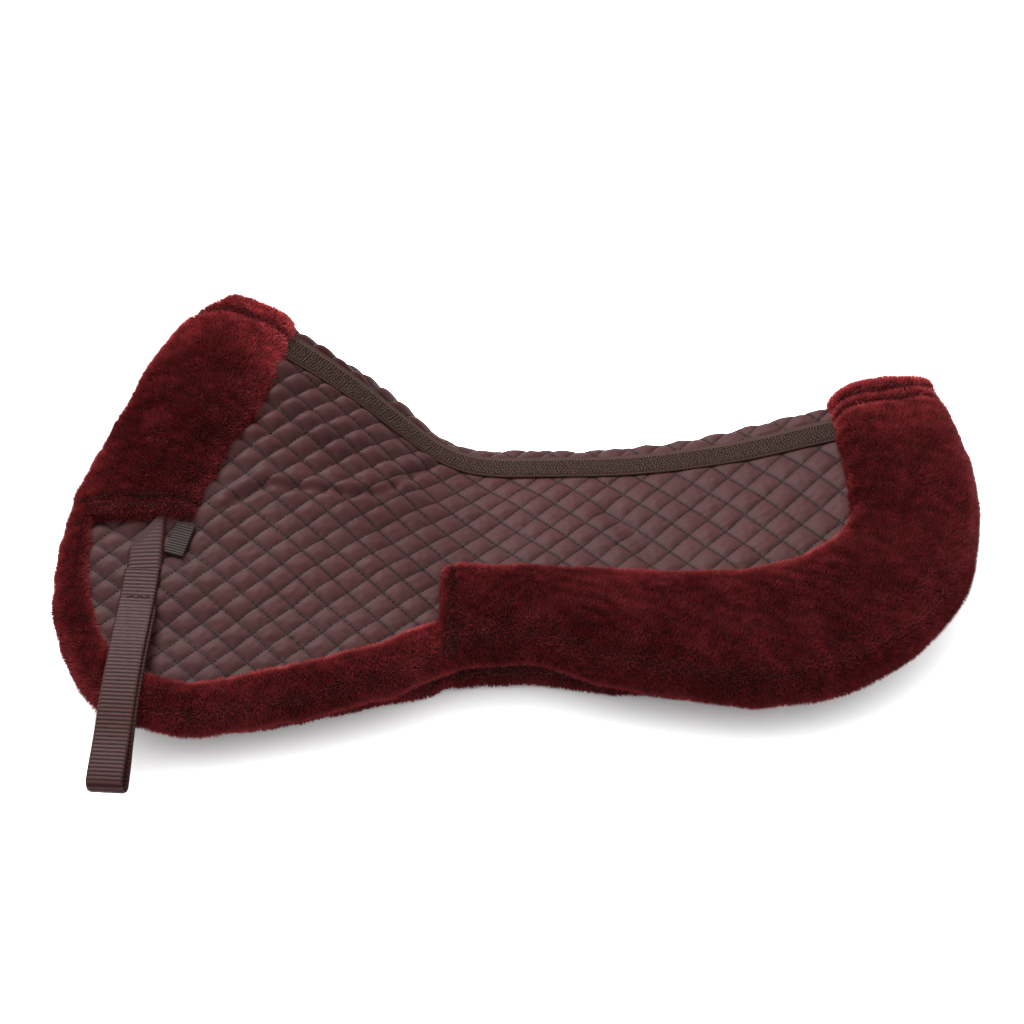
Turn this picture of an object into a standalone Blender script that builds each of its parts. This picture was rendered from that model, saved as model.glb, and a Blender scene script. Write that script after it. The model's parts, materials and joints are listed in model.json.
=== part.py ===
"""Half pad, worn between a saddle and a horse's back to cushion it.

Two padded flaps are joined along a curved spine. Each flap is a plush lining, a foam wadding
and a quilted cover, edged with plush: a patch at the front, a narrow binding, and a stuffed
roll at the rear. The pad is modelled folded along its spine and lying on its right flap.
X runs from the front of the pad to the rear, the spine is on the +Y side, and Z is up.
Lengths are in metres.
"""
import math

import bmesh
import bpy
from mathutils import Vector
from mathutils.bvhtree import BVHTree

MM = 0.001

# Clearances
SEAM_GAP = 0.3 * MM
SEAT_GAP = 1.0 * MM
BENT_SEAT_GAP = 2.0 * MM
CORNER_GAP = 6.0 * MM

# Layers of a flap, from its outer face inwards
COVER = 1.2 * MM
WADDING = 5.0 * MM
LINING = 9.0 * MM

# Plush on the outer face: how far each piece stands above the quilted cover
BINDING_WIDTH = 34.0 * MM
HEM_BINDING_WIDTH = 18.0 * MM
BINDING_TAPER = 0.5
BINDING_RISE = 9.0 * MM
PATCH_RISE = 12.0 * MM
ROLL_RISE = 20.0 * MM
PLUSH_SKIN = 6.0 * MM
PRESSED_RISE = 10.0 * MM
PRESSED_SKIN = 4.0 * MM
EDGE_WALL = 12.0 * MM

# Where across its width each stuffed piece is highest
PATCH_CROWN = 0.4
ROLL_CROWN = 0.35

# Heights of the folded pad, at the quilted face of the upper flap
EDGE_LEVEL = 42.5 * MM
EDGE_LINE = -200.0 * MM
FLAP_BULGE = 6.0 * MM
FLAP_SAG_POWER = 1.25

# Spine, as (x, height): it dips behind the withers and climbs to the cantle
SPINE_HEIGHTS = [
    (-330, 108), (-315, 120), (-291, 134), (-266, 143), (-220, 150), (-188, 141), (-167, 132),
    (-123, 105), (-85, 77), (-55, 56), (-24, 46), (30, 45), (98, 47), (174, 57), (246, 73),
    (294, 80), (324, 84),
]
SPINE_FOOT = (60.0 * MM, 50.0 * MM)
SPINE_LEAN = 0.5
FOLD_GAP = 0.5 * MM
LOWER_RISE_REACH = 170.0 * MM
LOWER_RISE_POWER = 1.8
AXIS_CLEAR = 2.5 * MM
TRIM_REACH = 0.35

# Where the plush pieces meet the spine and each other
PAD_FRONT = -220.0 * MM
PATCH_END = -167.0 * MM
ROLL_START = 246.0 * MM
PAD_REAR = 324.0 * MM

# Outer edge of a flap in plan, in millimetres, from the front of the spine round to its rear
FRONT_EDGE = [(-239, 119), (-265, 90), (-291, 35), (-314, -14)]
HEM_END = (-322, -48)
BINDING_EDGE = [
    (-325, -95), (-320, -131), (-304, -170), (-280, -197), (-247, -211), (-212, -216),
    (-145, -201), (-77, -178),
]
STEP_END = (-50, -161)
ROLL_EDGE = [
    (-20, -151), (20, -151), (55, -166), (88, -176), (129, -184), (164, -189), (198, -187),
    (234, -177), (271, -156), (301, -128), (325, -92), (339, -41), (343, -5), (339, 32),
    (333, 66),
]

# Inner edges of the patch and of the roll in plan, in millimetres
PATCH_INNER = [(-185, 48), (-204, 11), (-222, -27)]
PATCH_CORNER = (-228, -52)
ROLL_CORNER = (-48, -72)
ROLL_INNER = [
    (-9, -71), (63, -73), (135, -79), (193, -73), (230, -54), (249, -28), (251, 8), (249, 50),
]

# Spine tape and how far the cover runs on behind it
TAPE_WIDTH = 25.0 * MM
TAPE = 1.5 * MM
TAPE_SHORT = 7.0 * MM
RUN_ON_FRONT = 3.0 * MM
RUN_ON_REAR = 12.0 * MM

# Hem of the lower flap, which shows past the upper one at the waist
LOWER_INSET = 28.0 * MM
WAIST_X = 45.0 * MM
SHOW_X = 0.0 * MM
WAIST_SHOW = 20.0 * MM
WAIST_SPREAD = 70.0 * MM

# Girth strap: webbing doubled into a loop
STRAP_WIDTH = 25.0 * MM
WEBBING = 1.6 * MM
STRAP_X = -261.5 * MM
STRAP_TAB = 38.0 * MM
STRAP_CLEAR = 2.4 * MM
STRAP_SLANT = math.radians(3.5)
STRAP_ROUTE = [
    (0, 0), (22, -6), (44, -9.5), (64, -12), (84, -16), (104, -21.5), (124, -29), (165, -46),
]
LOOP_MOUTH = 9.0 * MM
LOOP_LENGTH = 42.0 * MM
LAID_STRAP_LENGTH = 165.0 * MM
LAID_MOUTH = 1.6 * MM
LAID_STRAP_Y = -95.0 * MM
LAID_STRAP_DEPTH = 3.0 * MM
LAID_STRAP_CLEAR = 4.4 * MM

# Care label, sewn flat beside the strap
LABEL_SIZE = (15.0 * MM, 26.0 * MM)
LABEL = 0.6 * MM
LABEL_PLACE = (-233.0 * MM, -72.0 * MM)
LABEL_TURN = math.radians(-24)

# Axis of the fold, in front of and below the spine at both of its ends
AXIS_FORWARD = 19.0 * MM
AXIS_DROP = 56.0 * MM
AXIS_MARK = 20.0 * MM

# How finely the flaps are divided
PATCH_CELLS = 8
BINDING_CELLS = 10
ROLL_CELLS = 14
TAPE_CELLS = 19
FLAP_ROWS = (0.15, 0.3, 0.5, 0.75, 1.0)
FOLD_SEGMENTS = 8
ARC_STEPS = 5

STACK_INSET = EDGE_WALL + 2 * SEAT_GAP
STACK = COVER + WADDING + LINING + 2 * SEAM_GAP
CELLS = PATCH_CELLS + BINDING_CELLS + ROLL_CELLS


def lerp(a, b, t):
    return a + (b - a) * t


def smooth_step(t):
    t = min(max(t, 0.0), 1.0)
    return t * t * (3 - 2 * t)


def read_curve(knots, x):
    """Height at x on the smooth curve through knots given in millimetres."""
    x = x / MM
    if x <= knots[0][0]:
        return knots[0][1] * MM
    if x >= knots[-1][0]:
        return knots[-1][1] * MM
    k = max(i for i, knot in enumerate(knots[:-1]) if knot[0] <= x)

    def slope(i):
        low, high = max(i - 1, 0), min(i + 1, len(knots) - 1)
        return (knots[high][1] - knots[low][1]) / (knots[high][0] - knots[low][0])

    (x0, z0), (x1, z1) = knots[k], knots[k + 1]
    span = x1 - x0
    t = (x - x0) / span
    bend = slope(k) * (t - 2 * t**2 + t**3) + slope(k + 1) * (t**3 - t**2)
    return (lerp(z0, z1, smooth_step(t)) + span * bend) * MM


def spine_height(x):
    return read_curve(SPINE_HEIGHTS, x)


def run_on(x):
    share = smooth_step((x - WAIST_X) / (ROLL_START - WAIST_X))
    return lerp(RUN_ON_FRONT, RUN_ON_REAR, share)


def spine_y(x):
    """Line where the upper flap ends and the fold begins."""
    tape_middle = SPINE_FOOT[0] + SPINE_LEAN * (spine_height(x) - SPINE_FOOT[1])
    return tape_middle + TAPE_WIDTH / 2 + run_on(x)


def upper_face(x, y):
    """Height of the upper flap's quilted face."""
    share = (y - EDGE_LINE) / (spine_y(x) - EDGE_LINE)
    share = min(max(share, 0.0), 1.0)
    climb = (spine_height(x) - EDGE_LEVEL) * share**FLAP_SAG_POWER
    return EDGE_LEVEL + climb + FLAP_BULGE * 4 * share * (1 - share)


def lower_face(x, y):
    """Height of the lower flap's quilted face, which lies on its plush edges."""
    rise = spine_height(x) - 2 * STACK - FOLD_GAP - PRESSED_RISE
    rise = max(rise, 0.0)
    reach = LOWER_RISE_REACH * math.sqrt(rise / LOWER_RISE_REACH) + SEAM_GAP
    share = min(max(1 - (spine_y(x) - y) / reach, 0.0), 1.0)
    return PRESSED_RISE + rise * share**LOWER_RISE_POWER


def catmull_rom(points, steps=12):
    """Points along the smooth curve through the given ones, with a mark at each given one."""
    path, marks = [], []
    for k in range(len(points) - 1):
        a = points[max(k - 1, 0)]
        b, c = points[k], points[k + 1]
        d = points[min(k + 2, len(points) - 1)]
        marks.append(len(path))
        for step in range(steps):
            t = step / steps
            part = 2 * b + (c - a) * t
            part += (2 * a - 5 * b + 4 * c - d) * t**2
            part += (3 * b - a - 3 * c + d) * t**3
            path.append(part / 2)
    marks.append(len(path))
    path.append(points[-1])
    return path, marks


def evenly(path, cells):
    """Points that divide a path into cells of equal length."""
    lengths = [0.0]
    for a, b in zip(path, path[1:]):
        lengths.append(lengths[-1] + (b - a).length)
    points, k = [], 0
    for cell in range(cells + 1):
        target = lengths[-1] * cell / cells
        while k < len(path) - 2 and lengths[k + 1] < target:
            k += 1
        t = (target - lengths[k]) / (lengths[k + 1] - lengths[k])
        points.append(lerp(path[k], path[k + 1], t))
    return points


def plan(points):
    return [Vector((x, y)) * MM for x, y in points]


def on_spine(x):
    return Vector((x, spine_y(x)))


def edge_stations():
    """Outer edge of a flap in plan, and the direction inwards at each of its points."""
    points = [on_spine(PAD_FRONT)]
    points += plan(FRONT_EDGE) + plan([HEM_END])
    hem = len(points) - 1
    points += plan(BINDING_EDGE) + plan([STEP_END])
    step = len(points) - 1
    points += plan(ROLL_EDGE) + [on_spine(PAD_REAR)]
    path, marks = catmull_rom(points)
    edge = evenly(path[: marks[hem] + 1], PATCH_CELLS)
    edge += evenly(path[marks[hem] : marks[step] + 1], BINDING_CELLS)[1:]
    edge += evenly(path[marks[step] :], ROLL_CELLS)[1:]
    inwards = [(on_spine(PATCH_END) - edge[0]).normalized()]
    for k in range(1, CELLS):
        along = edge[k + 1] - edge[k - 1]
        inwards.append(Vector((-along.y, along.x)).normalized())
    inwards.append((on_spine(ROLL_START) - edge[-1]).normalized())
    return edge, inwards


def inner_edge(first, middle, last, cells):
    path, _ = catmull_rom([first] + plan(middle) + [last])
    return evenly(path, cells)


EDGE, INWARDS = edge_stations()
PATCH_LINE = inner_edge(on_spine(PATCH_END), PATCH_INNER, plan([PATCH_CORNER])[0], PATCH_CELLS)
ROLL_LINE = inner_edge(plan([ROLL_CORNER])[0], ROLL_INNER, on_spine(ROLL_START), ROLL_CELLS)
HEM = PATCH_CELLS
STEP = PATCH_CELLS + BINDING_CELLS
INWARDS[HEM] = (PATCH_LINE[-1] - EDGE[HEM]).normalized()
INWARDS[STEP] = (ROLL_LINE[0] - EDGE[STEP]).normalized()


def spine_stations():
    """Points of the spine where the flap's columns start: some lie under the patch and roll."""
    rim = STACK_INSET + CORNER_GAP
    front, rear = EDGE[0] + INWARDS[0] * rim, EDGE[-1] + INWARDS[-1] * rim
    under_patch, under_roll = on_spine(PATCH_END), on_spine(ROLL_START)
    tail = CELLS - PATCH_CELLS - TAPE_CELLS
    stations = [lerp(front, under_patch, k / PATCH_CELLS) for k in range(PATCH_CELLS)]
    for k in range(TAPE_CELLS):
        stations.append(on_spine(lerp(PATCH_END, ROLL_START, k / TAPE_CELLS)))
    stations += [lerp(under_roll, rear, k / tail) for k in range(tail + 1)]
    return stations


SPINE = spine_stations()


def column_points(k):
    """Plan points of one column of the flap, from the spine across the tape to the edge."""
    start = SPINE[k]
    end = EDGE[k] + INWARDS[k] * STACK_INSET
    if k in (0, CELLS):
        end = SPINE[k]
    along = SPINE[min(k + 1, CELLS)] - SPINE[max(k - 1, 0)]
    across = Vector((along.y, -along.x)).normalized()
    fade = min(k / PATCH_CELLS, (CELLS - k) / (CELLS - PATCH_CELLS - TAPE_CELLS), 1.0)
    behind = start + across * run_on(start.x) * fade
    tape_edge = behind + across * TAPE_WIDTH * fade
    points = [start, behind, tape_edge]
    return points + [lerp(tape_edge, end, row) for row in FLAP_ROWS]


class Flap:
    """One side of the pad: where its quilted face lies and which way it looks."""

    def __init__(self, side, face, sense, shift, gap):
        self.side = side
        self.face = face
        self.sense = sense
        self.shift = shift
        self.gap = gap
        self.cover = None

    def place(self, point, height):
        """Point in space, height above the quilted face on the flap's outer side."""
        moved = point + self.shift(point)
        z = self.face(moved.x, moved.y) + self.sense * height
        return Vector((moved.x, moved.y, z))

    def seat(self, point, height):
        """The same, but measured from the facets of the cover where there is one."""
        free = self.place(point, 0.0)
        start = Vector((free.x, free.y, self.sense))
        hit = self.cover.ray_cast(start, Vector((0, 0, -self.sense)))[0]
        base = hit if hit else free
        return base + Vector((0, 0, self.sense * height))


def no_shift(point):
    return Vector((0, 0))


def axis_point(x):
    return Vector((x, spine_y(x) - AXIS_FORWARD, spine_height(x) - AXIS_DROP))


def fold_trim(x):
    """How far the lower flap stops short of the spine, so that it stays in front of the axis."""
    share = (x - PAD_FRONT) / (PAD_REAR - PAD_FRONT)
    limit = lerp(axis_point(PAD_FRONT).y, axis_point(PAD_REAR).y, share) - AXIS_CLEAR
    return max(spine_y(x) - limit, 0.0)


def lower_shift(point):
    """The lower flap lies further back than the upper one, but shows at the waist."""
    depth = (spine_y(point.x) - point.y) / (spine_y(point.x) - EDGE_LINE)
    trim = fold_trim(point.x) * (1 - smooth_step(depth / TRIM_REACH))
    share = smooth_step(depth)
    show = WAIST_SHOW * math.exp(-(((point.x - SHOW_X) / WAIST_SPREAD) ** 2))
    end_share = smooth_step(abs(point.x - WAIST_X) / (PAD_REAR - WAIST_X))
    inset_x = -LOWER_INSET * end_share * share * (1 if point.x > WAIST_X else -1)
    return Vector((inset_x, (LOWER_INSET - show) * share - trim))


UPPER = Flap("left", upper_face, 1, no_shift, SEAT_GAP)
LOWER = Flap("right", lower_face, -1, lower_shift, BENT_SEAT_GAP)


def clear_scene():
    for item in list(bpy.data.objects):
        bpy.data.objects.remove(item, do_unlink=True)


def new_collection(name):
    group = bpy.data.collections.new(name)
    bpy.context.scene.collection.children.link(group)
    return group


def make_material(name, colour, roughness):
    material = bpy.data.materials.new(name)
    material.use_nodes = True
    shader = material.node_tree.nodes["Principled BSDF"]
    shader.inputs["Base Color"].default_value = (*colour, 1.0)
    shader.inputs["Roughness"].default_value = roughness
    shader.inputs["Metallic"].default_value = 0.0
    return material


def add_object(name, data, material, group):
    item = bpy.data.objects.new(name, data)
    group.objects.link(item)
    item.data.materials.append(material)
    return item


def lofted(name, low, high, material, group):
    """Solid between two grids of points, low and high, which have the same rows and columns."""
    mesh = bpy.data.meshes.new(name)
    shape = bmesh.new()
    grids = [[[shape.verts.new(p) for p in column] for column in grid] for grid in (low, high)]
    columns, rows = len(low), len(low[0])
    for grid in grids:
        for i in range(columns - 1):
            for j in range(rows - 1):
                shape.faces.new((grid[i][j], grid[i + 1][j], grid[i + 1][j + 1], grid[i][j + 1]))
    rim = [(i, 0) for i in range(columns)]
    rim += [(columns - 1, j) for j in range(1, rows)]
    rim += [(i, rows - 1) for i in range(columns - 2, -1, -1)]
    rim += [(0, j) for j in range(rows - 2, -1, -1)]
    bottom, top = grids
    for (a, b), (c, d) in zip(rim, rim[1:]):
        shape.faces.new((bottom[a][b], bottom[c][d], top[c][d], top[a][b]))
    bmesh.ops.remove_doubles(shape, verts=shape.verts, dist=0.01 * MM)
    bmesh.ops.dissolve_degenerate(shape, edges=shape.edges, dist=0.01 * MM)
    bmesh.ops.triangulate(shape, faces=shape.faces, quad_method="FIXED")
    bmesh.ops.recalc_face_normals(shape, faces=shape.faces)
    shape.to_mesh(mesh)
    shape.free()
    mesh.shade_smooth()
    mesh.set_sharp_from_angle(angle=math.radians(50))
    return add_object(name, mesh, material, group)


def flap_layer(flap, name, low, high, material, group):
    """One layer of the flap, between two heights from its quilted face."""
    columns = [column_points(k) for k in range(CELLS + 1)]
    lows = [[flap.place(p, low) for p in column] for column in columns]
    highs = [[flap.place(p, high) for p in column] for column in columns]
    return lofted(flap.side + "_" + name, lows, highs, material, group)


def strip_points(first, inner, profile):
    """Plan points of a plush strip: by distance from the edge, then by share of its width."""
    columns = []
    for k, end in enumerate(inner):
        edge, inwards = EDGE[first + k], INWARDS[first + k]
        start = edge + inwards * (EDGE_WALL + SEAT_GAP)
        column = []
        for distance, share, _, _ in profile:
            column.append(lerp(start, end, share) if share else edge + inwards * distance)
        columns.append(column)
    return drawn_in(columns, SEAM_GAP)


def drawn_in(columns, gap):
    """The same columns, with the first and last moved inwards by a gap."""
    moved = list(columns)
    for end, neighbour in ((0, 1), (-1, -2)):
        pairs = zip(columns[end], columns[neighbour])
        moved[end] = [a + (b - a).normalized() * gap for a, b in pairs]
    return moved


def drawn_in_line(points):
    """The same line of points with a seam's gap taken off each end."""
    return [p for p, in drawn_in([[p] for p in points], SEAM_GAP)]


def plush_strip(flap, name, first, inner, profile, material, group):
    """Plush piece that wraps the flap's edge; its ends are closed where it has a hollow."""
    columns = strip_points(first, inner, profile)
    lows, highs = [], []
    for k, column in enumerate(columns):
        at_end = k in (0, len(columns) - 1)
        low_column, high_column = [], []
        for point, (_, share, low, high) in zip(column, profile):
            if low > 0:
                low = flap.gap if at_end else max(low, flap.gap)
            low_column.append(flap.seat(point, low))
            high_column.append(flap.seat(point, high))
        lows.append(low_column)
        highs.append(high_column)
    return lofted(flap.side + "_" + name, lows, highs, material, group)


def edge_profile(rise):
    """The rounded edge of a plush piece: (distance, share of width, low, high)."""
    wall = EDGE_WALL
    return [
        (0.0, 0, -0.62 * STACK, -0.2 * STACK),
        (0.3 * wall, 0, -0.86 * STACK, 0.35 * rise),
        (0.67 * wall, 0, -0.98 * STACK, 0.75 * rise),
        (wall, 0, -STACK, 0.92 * rise),
        (wall + SEAT_GAP, 0, SEAT_GAP, 0.94 * rise),
    ]


def hollow_profile(rise, skin, crown):
    """A plush piece with a hollow for its filling, highest at the crown's share of width."""
    ceiling = rise - skin
    return edge_profile(0.85 * rise) + [
        (0, 0.06, SEAT_GAP, 0.88 * rise),
        (0, 0.12, 0.85 * ceiling, 0.93 * rise),
        (0, 0.25, 0.95 * ceiling, 0.98 * rise),
        (0, crown, ceiling, rise),
        (0, 0.55, 0.99 * ceiling, 0.99 * rise),
        (0, 0.7, 0.96 * ceiling, 0.97 * rise),
        (0, 0.86, 0.8 * ceiling, 0.85 * rise),
        (0, 0.92, SEAT_GAP, 0.72 * rise),
        (0, 0.975, SEAT_GAP, 0.5 * rise),
        (0, 1.0, SEAT_GAP, 0.2 * rise),
    ]


def binding_profile(rise):
    return edge_profile(rise) + [
        (0, 0.34, SEAT_GAP, rise),
        (0, 0.72, SEAT_GAP, 0.8 * rise),
        (0, 0.94, SEAT_GAP, 0.5 * rise),
        (0, 1.0, SEAT_GAP, 0.2 * rise),
    ]


def flattened(profile):
    """The same piece pressed against the ground."""
    flat_from = EDGE_WALL
    pressed = []
    for distance, share, low, high in profile:
        on_ground = share or distance >= flat_from
        pressed.append((distance, share, low, PRESSED_RISE if on_ground else high))
    return pressed


def filling(flap, name, first, inner, rise, skin, crown, material, group):
    """Wadding inside a hollow plush piece."""
    floor = 2 * flap.gap if flap.sense > 0 else flap.gap
    ceiling = rise - skin - flap.gap
    shares = [(0.14, 0.84), (0.25, 0.94), (crown, 1.0), (0.55, 0.98), (0.7, 0.94), (0.84, 0.76)]
    profile = [(0, share, floor, part * ceiling) for share, part in shares]
    columns = strip_points(first, inner, profile)[1:-1]
    lows = [[flap.seat(p, floor) for p in column] for column in columns]
    highs = []
    for column in columns:
        highs.append([flap.seat(p, row[3]) for p, row in zip(column, profile)])
    return lofted(flap.side + "_" + name, lows, highs, material, group)


def binding_line():
    """Inner edge of the binding, which is narrower towards the hem of the patch."""
    line = []
    for k in range(HEM, STEP + 1):
        share = min((k - HEM) / (BINDING_TAPER * BINDING_CELLS), 1.0)
        width = HEM_BINDING_WIDTH + (BINDING_WIDTH - HEM_BINDING_WIDTH) * share
        line.append(EDGE[k] + INWARDS[k] * width)
    return line


def plush_pieces(flap, paint, group):
    """Patch, binding and roll of one flap, with the wadding in the patch and in the roll."""
    patch_rise, binding_rise, roll_rise = PATCH_RISE, BINDING_RISE, ROLL_RISE
    skin = PLUSH_SKIN
    pressed = flap.sense < 0
    if pressed:
        patch_rise = binding_rise = roll_rise = PRESSED_RISE
        skin = PRESSED_SKIN
    profiles = [
        hollow_profile(patch_rise, skin, PATCH_CROWN),
        binding_profile(binding_rise),
        hollow_profile(roll_rise, skin, ROLL_CROWN),
    ]
    if pressed:
        profiles = [flattened(profile) for profile in profiles]
    lines = [PATCH_LINE, binding_line(), ROLL_LINE]
    names = ["front_patch", "edge_binding", "rear_roll"]
    pieces = []
    for name, first, line, profile in zip(names, (0, HEM, STEP), lines, profiles):
        pieces.append(plush_strip(flap, name, first, line, profile, paint["plush"], group))
    pieces.append(filling(flap, "patch_wadding", 0, PATCH_LINE, patch_rise, skin, PATCH_CROWN,
                          paint["foam"], group))
    pieces.append(filling(flap, "roll_wadding", STEP, ROLL_LINE, roll_rise, skin, ROLL_CROWN,
                          paint["foam"], group))
    return pieces


def flap_pieces(flap, paint, group):
    """The three layers of one flap and the plush on it."""
    wadding_top = -COVER - SEAM_GAP
    lining_top = wadding_top - WADDING - SEAM_GAP
    layers = [
        ("quilted_cover", -COVER, 0.0, paint["quilting"]),
        ("wadding", wadding_top - WADDING, wadding_top, paint["foam"]),
        ("plush_lining", lining_top - LINING, lining_top, paint["plush"]),
    ]
    pieces = [flap_layer(flap, name, low, high, material, group)
              for name, low, high, material in layers]
    faces = [tuple(face.vertices) for face in pieces[0].data.polygons]
    flap.cover = BVHTree.FromPolygons([v.co for v in pieces[0].data.vertices], faces)
    return pieces + plush_pieces(flap, paint, group)


def fold_ends(point):
    """Where the fold starts on the upper flap's face and where it ends on the lower flap's."""
    clear = Vector((0, SEAT_GAP, 0))
    return UPPER.place(point, 0.0) + clear, LOWER.place(point, 0.0) + clear


def fold_section(point, inset):
    """Curve behind the spine at one point, from the upper flap's face round to the lower's."""
    start, end = fold_ends(point)
    start, end = start - Vector((0, 0, inset)), end + Vector((0, 0, inset))
    middle, half = lerp(start, end, 0.5), (start - end) / 2
    behind = Vector((0, half.z, -half.y)).normalized() * (STACK + FOLD_GAP / 2 - inset)
    arc = []
    for k in range(FOLD_SEGMENTS + 1):
        turn = math.pi * k / FOLD_SEGMENTS
        arc.append(middle + half * math.cos(turn) + behind * math.sin(turn))
    return arc


def fold_front(point):
    """Front of the filling: down the upper flap's end, along under it, down the lower's end."""
    start, end = fold_ends(point)
    depth, under = Vector((0, 0, COVER + SEAM_GAP)), STACK + 2 * SEAT_GAP
    bend = start - Vector((0, 0, under))
    below = point - Vector((0, fold_trim(point.x)))
    corner = UPPER.place(below, -under) + Vector((0, SEAT_GAP, 0))
    third = FOLD_SEGMENTS // 3
    line = [lerp(start - depth, bend, k / third) for k in range(third)]
    line += [lerp(bend, corner, k / third) for k in range(third)]
    rest = FOLD_SEGMENTS - 2 * third
    return line + [lerp(corner, end + depth, k / rest) for k in range(rest + 1)]


def fold_pieces(paint, group):
    """Bent strip that joins the flaps at the spine, in three lengths, and its wadding."""
    tape_end = HEM + TAPE_CELLS
    lengths = {
        "spine_front_plush": ([EDGE[0]] + SPINE[0 : HEM + 1 : 2], "plush"),
        "spine_cover": (SPINE[HEM : tape_end + 1], "quilting"),
        "spine_rear_plush": (SPINE[tape_end:] + [EDGE[-1]], "plush"),
    }
    pieces, line = [], []
    for name, (points, finish) in lengths.items():
        trimmed = drawn_in_line(points)
        line += trimmed[bool(line) :]
        outer = [fold_section(p, 0.0) for p in trimmed]
        inner = [fold_section(p, COVER) for p in trimmed]
        pieces.append(lofted(name, inner, outer, paint[finish], group))
    filling_back = [fold_section(p, COVER + SEAM_GAP) for p in line]
    pieces.append(lofted("spine_wadding", [fold_front(p) for p in line], filling_back,
                         paint["foam"], group))
    return pieces


def spine_tape(paint, group):
    """Tape over the spine's seam, along the row of the flap that is as wide as the tape."""
    columns = [column_points(k)[1:3] for k in range(HEM, HEM + TAPE_CELLS + 1)]
    columns = drawn_in(columns, TAPE_SHORT)
    lows = [[UPPER.seat(p, SEAT_GAP) for p in column] for column in columns]
    highs = [[UPPER.seat(p, SEAT_GAP + TAPE) for p in column] for column in columns]
    return lofted("spine_tape", lows, highs, paint["tape"], group)


def flat_on_flap(flap, name, place, size, turn, thickness, gap, material, group):
    """Thin rectangle that lies on the quilted face."""
    lows, highs = [], []
    for u in (-0.5, 0.0, 0.5):
        row = []
        for v in (-0.5, 0.0, 0.5):
            x, y = u * size[0], v * size[1]
            turned = Vector((x * math.cos(turn) - y * math.sin(turn),
                             x * math.sin(turn) + y * math.cos(turn)))
            row.append(Vector(place) + turned)
        lows.append([flap.seat(p, gap) for p in row])
        highs.append([flap.seat(p, gap + thickness) for p in row])
    return lofted(name, lows, highs, material, group)


def loop_path(route, mouth, mouth_length):
    """Middle line of webbing doubled along a route and open at its far end, as a closed path."""
    path, _ = catmull_rom(route, steps=2)
    total = sum((b - a).length for a, b in zip(path, path[1:]))
    upper, lower = [], []
    run = 0.0
    for k, point in enumerate(path):
        if k:
            run += (point - path[k - 1]).length
        along = path[min(k + 1, len(path) - 1)] - path[max(k - 1, 0)]
        normal = Vector((-along.y, along.x)).normalized()
        normal = normal if normal.y > 0 else -normal
        open_share = smooth_step((run - (total - mouth_length)) / mouth_length)
        offset = lerp(SEAM_GAP, mouth / 2, open_share) + WEBBING / 2
        upper.append(point + normal * offset)
        lower.append(point - normal * offset)
    heading = (path[-1] - path[-2]).normalized()
    side = (upper[-1] - lower[-1]).normalized()
    radius = (mouth + WEBBING) / 2
    return upper + half_round(path[-1], heading, side, radius) + lower[::-1]


def half_round(centre, heading, side, radius):
    arc = []
    for k in range(1, ARC_STEPS):
        turn = math.pi * k / ARC_STEPS
        arc.append(centre + side * radius * math.cos(turn) + heading * radius * math.sin(turn))
    return arc


def strap_loop(name, route, mouth, mouth_length, root, turn, material, group):
    """Webbing loop: a ribbon along the closed path, given its thickness by Solidify.

    The route is drawn sideways on (distance from the root, height); turn is the angle in plan
    from +X to the way that the strap runs.
    """
    along = Vector((math.cos(turn), math.sin(turn), 0))
    across = Vector((-along.y, along.x, 0)) * STRAP_WIDTH / 2
    mesh = bpy.data.meshes.new(name)
    shape = bmesh.new()
    pairs = []
    for point in loop_path(route, mouth, mouth_length):
        middle = along * point.x + Vector((0, 0, point.y))
        pairs.append((shape.verts.new(middle - across), shape.verts.new(middle + across)))
    for (a, b), (c, d) in zip(pairs, pairs[1:] + pairs[:1]):
        shape.faces.new((a, b, d, c))
    bmesh.ops.recalc_face_normals(shape, faces=shape.faces)
    shape.to_mesh(mesh)
    shape.free()
    strap = add_object(name, mesh, material, group)
    strap.location = root
    wall = strap.modifiers.new("Webbing", "SOLIDIFY")
    wall.thickness = WEBBING
    wall.offset = 0.0
    wall.use_even_offset = True
    return strap


def left_strap(paint, group):
    """Strap on the upper flap: it lies over the binding and ends past the edge."""
    tab_middle = PATCH_CORNER[1] * MM - STRAP_TAB / 2 - SEAT_GAP
    tab = flat_on_flap(UPPER, "left_strap_tab", (STRAP_X, tab_middle),
                       (STRAP_WIDTH, STRAP_TAB), 0.0, 2 * WEBBING, SEAT_GAP,
                       paint["webbing"], group)
    start = Vector((STRAP_X, tab_middle - (STRAP_TAB + WEBBING) / 2 - STRAP_CLEAR))
    root = UPPER.place(start, SEAT_GAP + WEBBING + SEAM_GAP)
    route = [Vector(point) * MM for point in STRAP_ROUTE]
    turn = -math.pi / 2 - STRAP_SLANT
    loop = strap_loop("left_girth_strap", route, LOOP_MOUTH, LOOP_LENGTH, root, turn,
                      paint["webbing"], group)
    return tab, loop


def right_strap(paint, group):
    """Strap on the lower flap: it lies flat under the quilting, towards the rear."""
    tab_place = (STRAP_X, LAID_STRAP_Y)
    tab = flat_on_flap(LOWER, "right_strap_tab", tab_place, (STRAP_TAB / 2, STRAP_WIDTH), 0.0,
                       2 * WEBBING, SEAM_GAP, paint["webbing"], group)
    middle = LOWER.place(Vector(tab_place), LAID_STRAP_DEPTH)
    root = middle + Vector((STRAP_TAB / 4 + WEBBING / 2 + LAID_STRAP_CLEAR, 0, 0))
    steps = 4
    route = [Vector((LAID_STRAP_LENGTH * k / steps, 0)) for k in range(steps + 1)]
    loop = strap_loop("right_girth_strap", route, LAID_MOUTH, LOOP_LENGTH, root, 0.0,
                      paint["webbing"], group)
    return tab, loop


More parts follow.
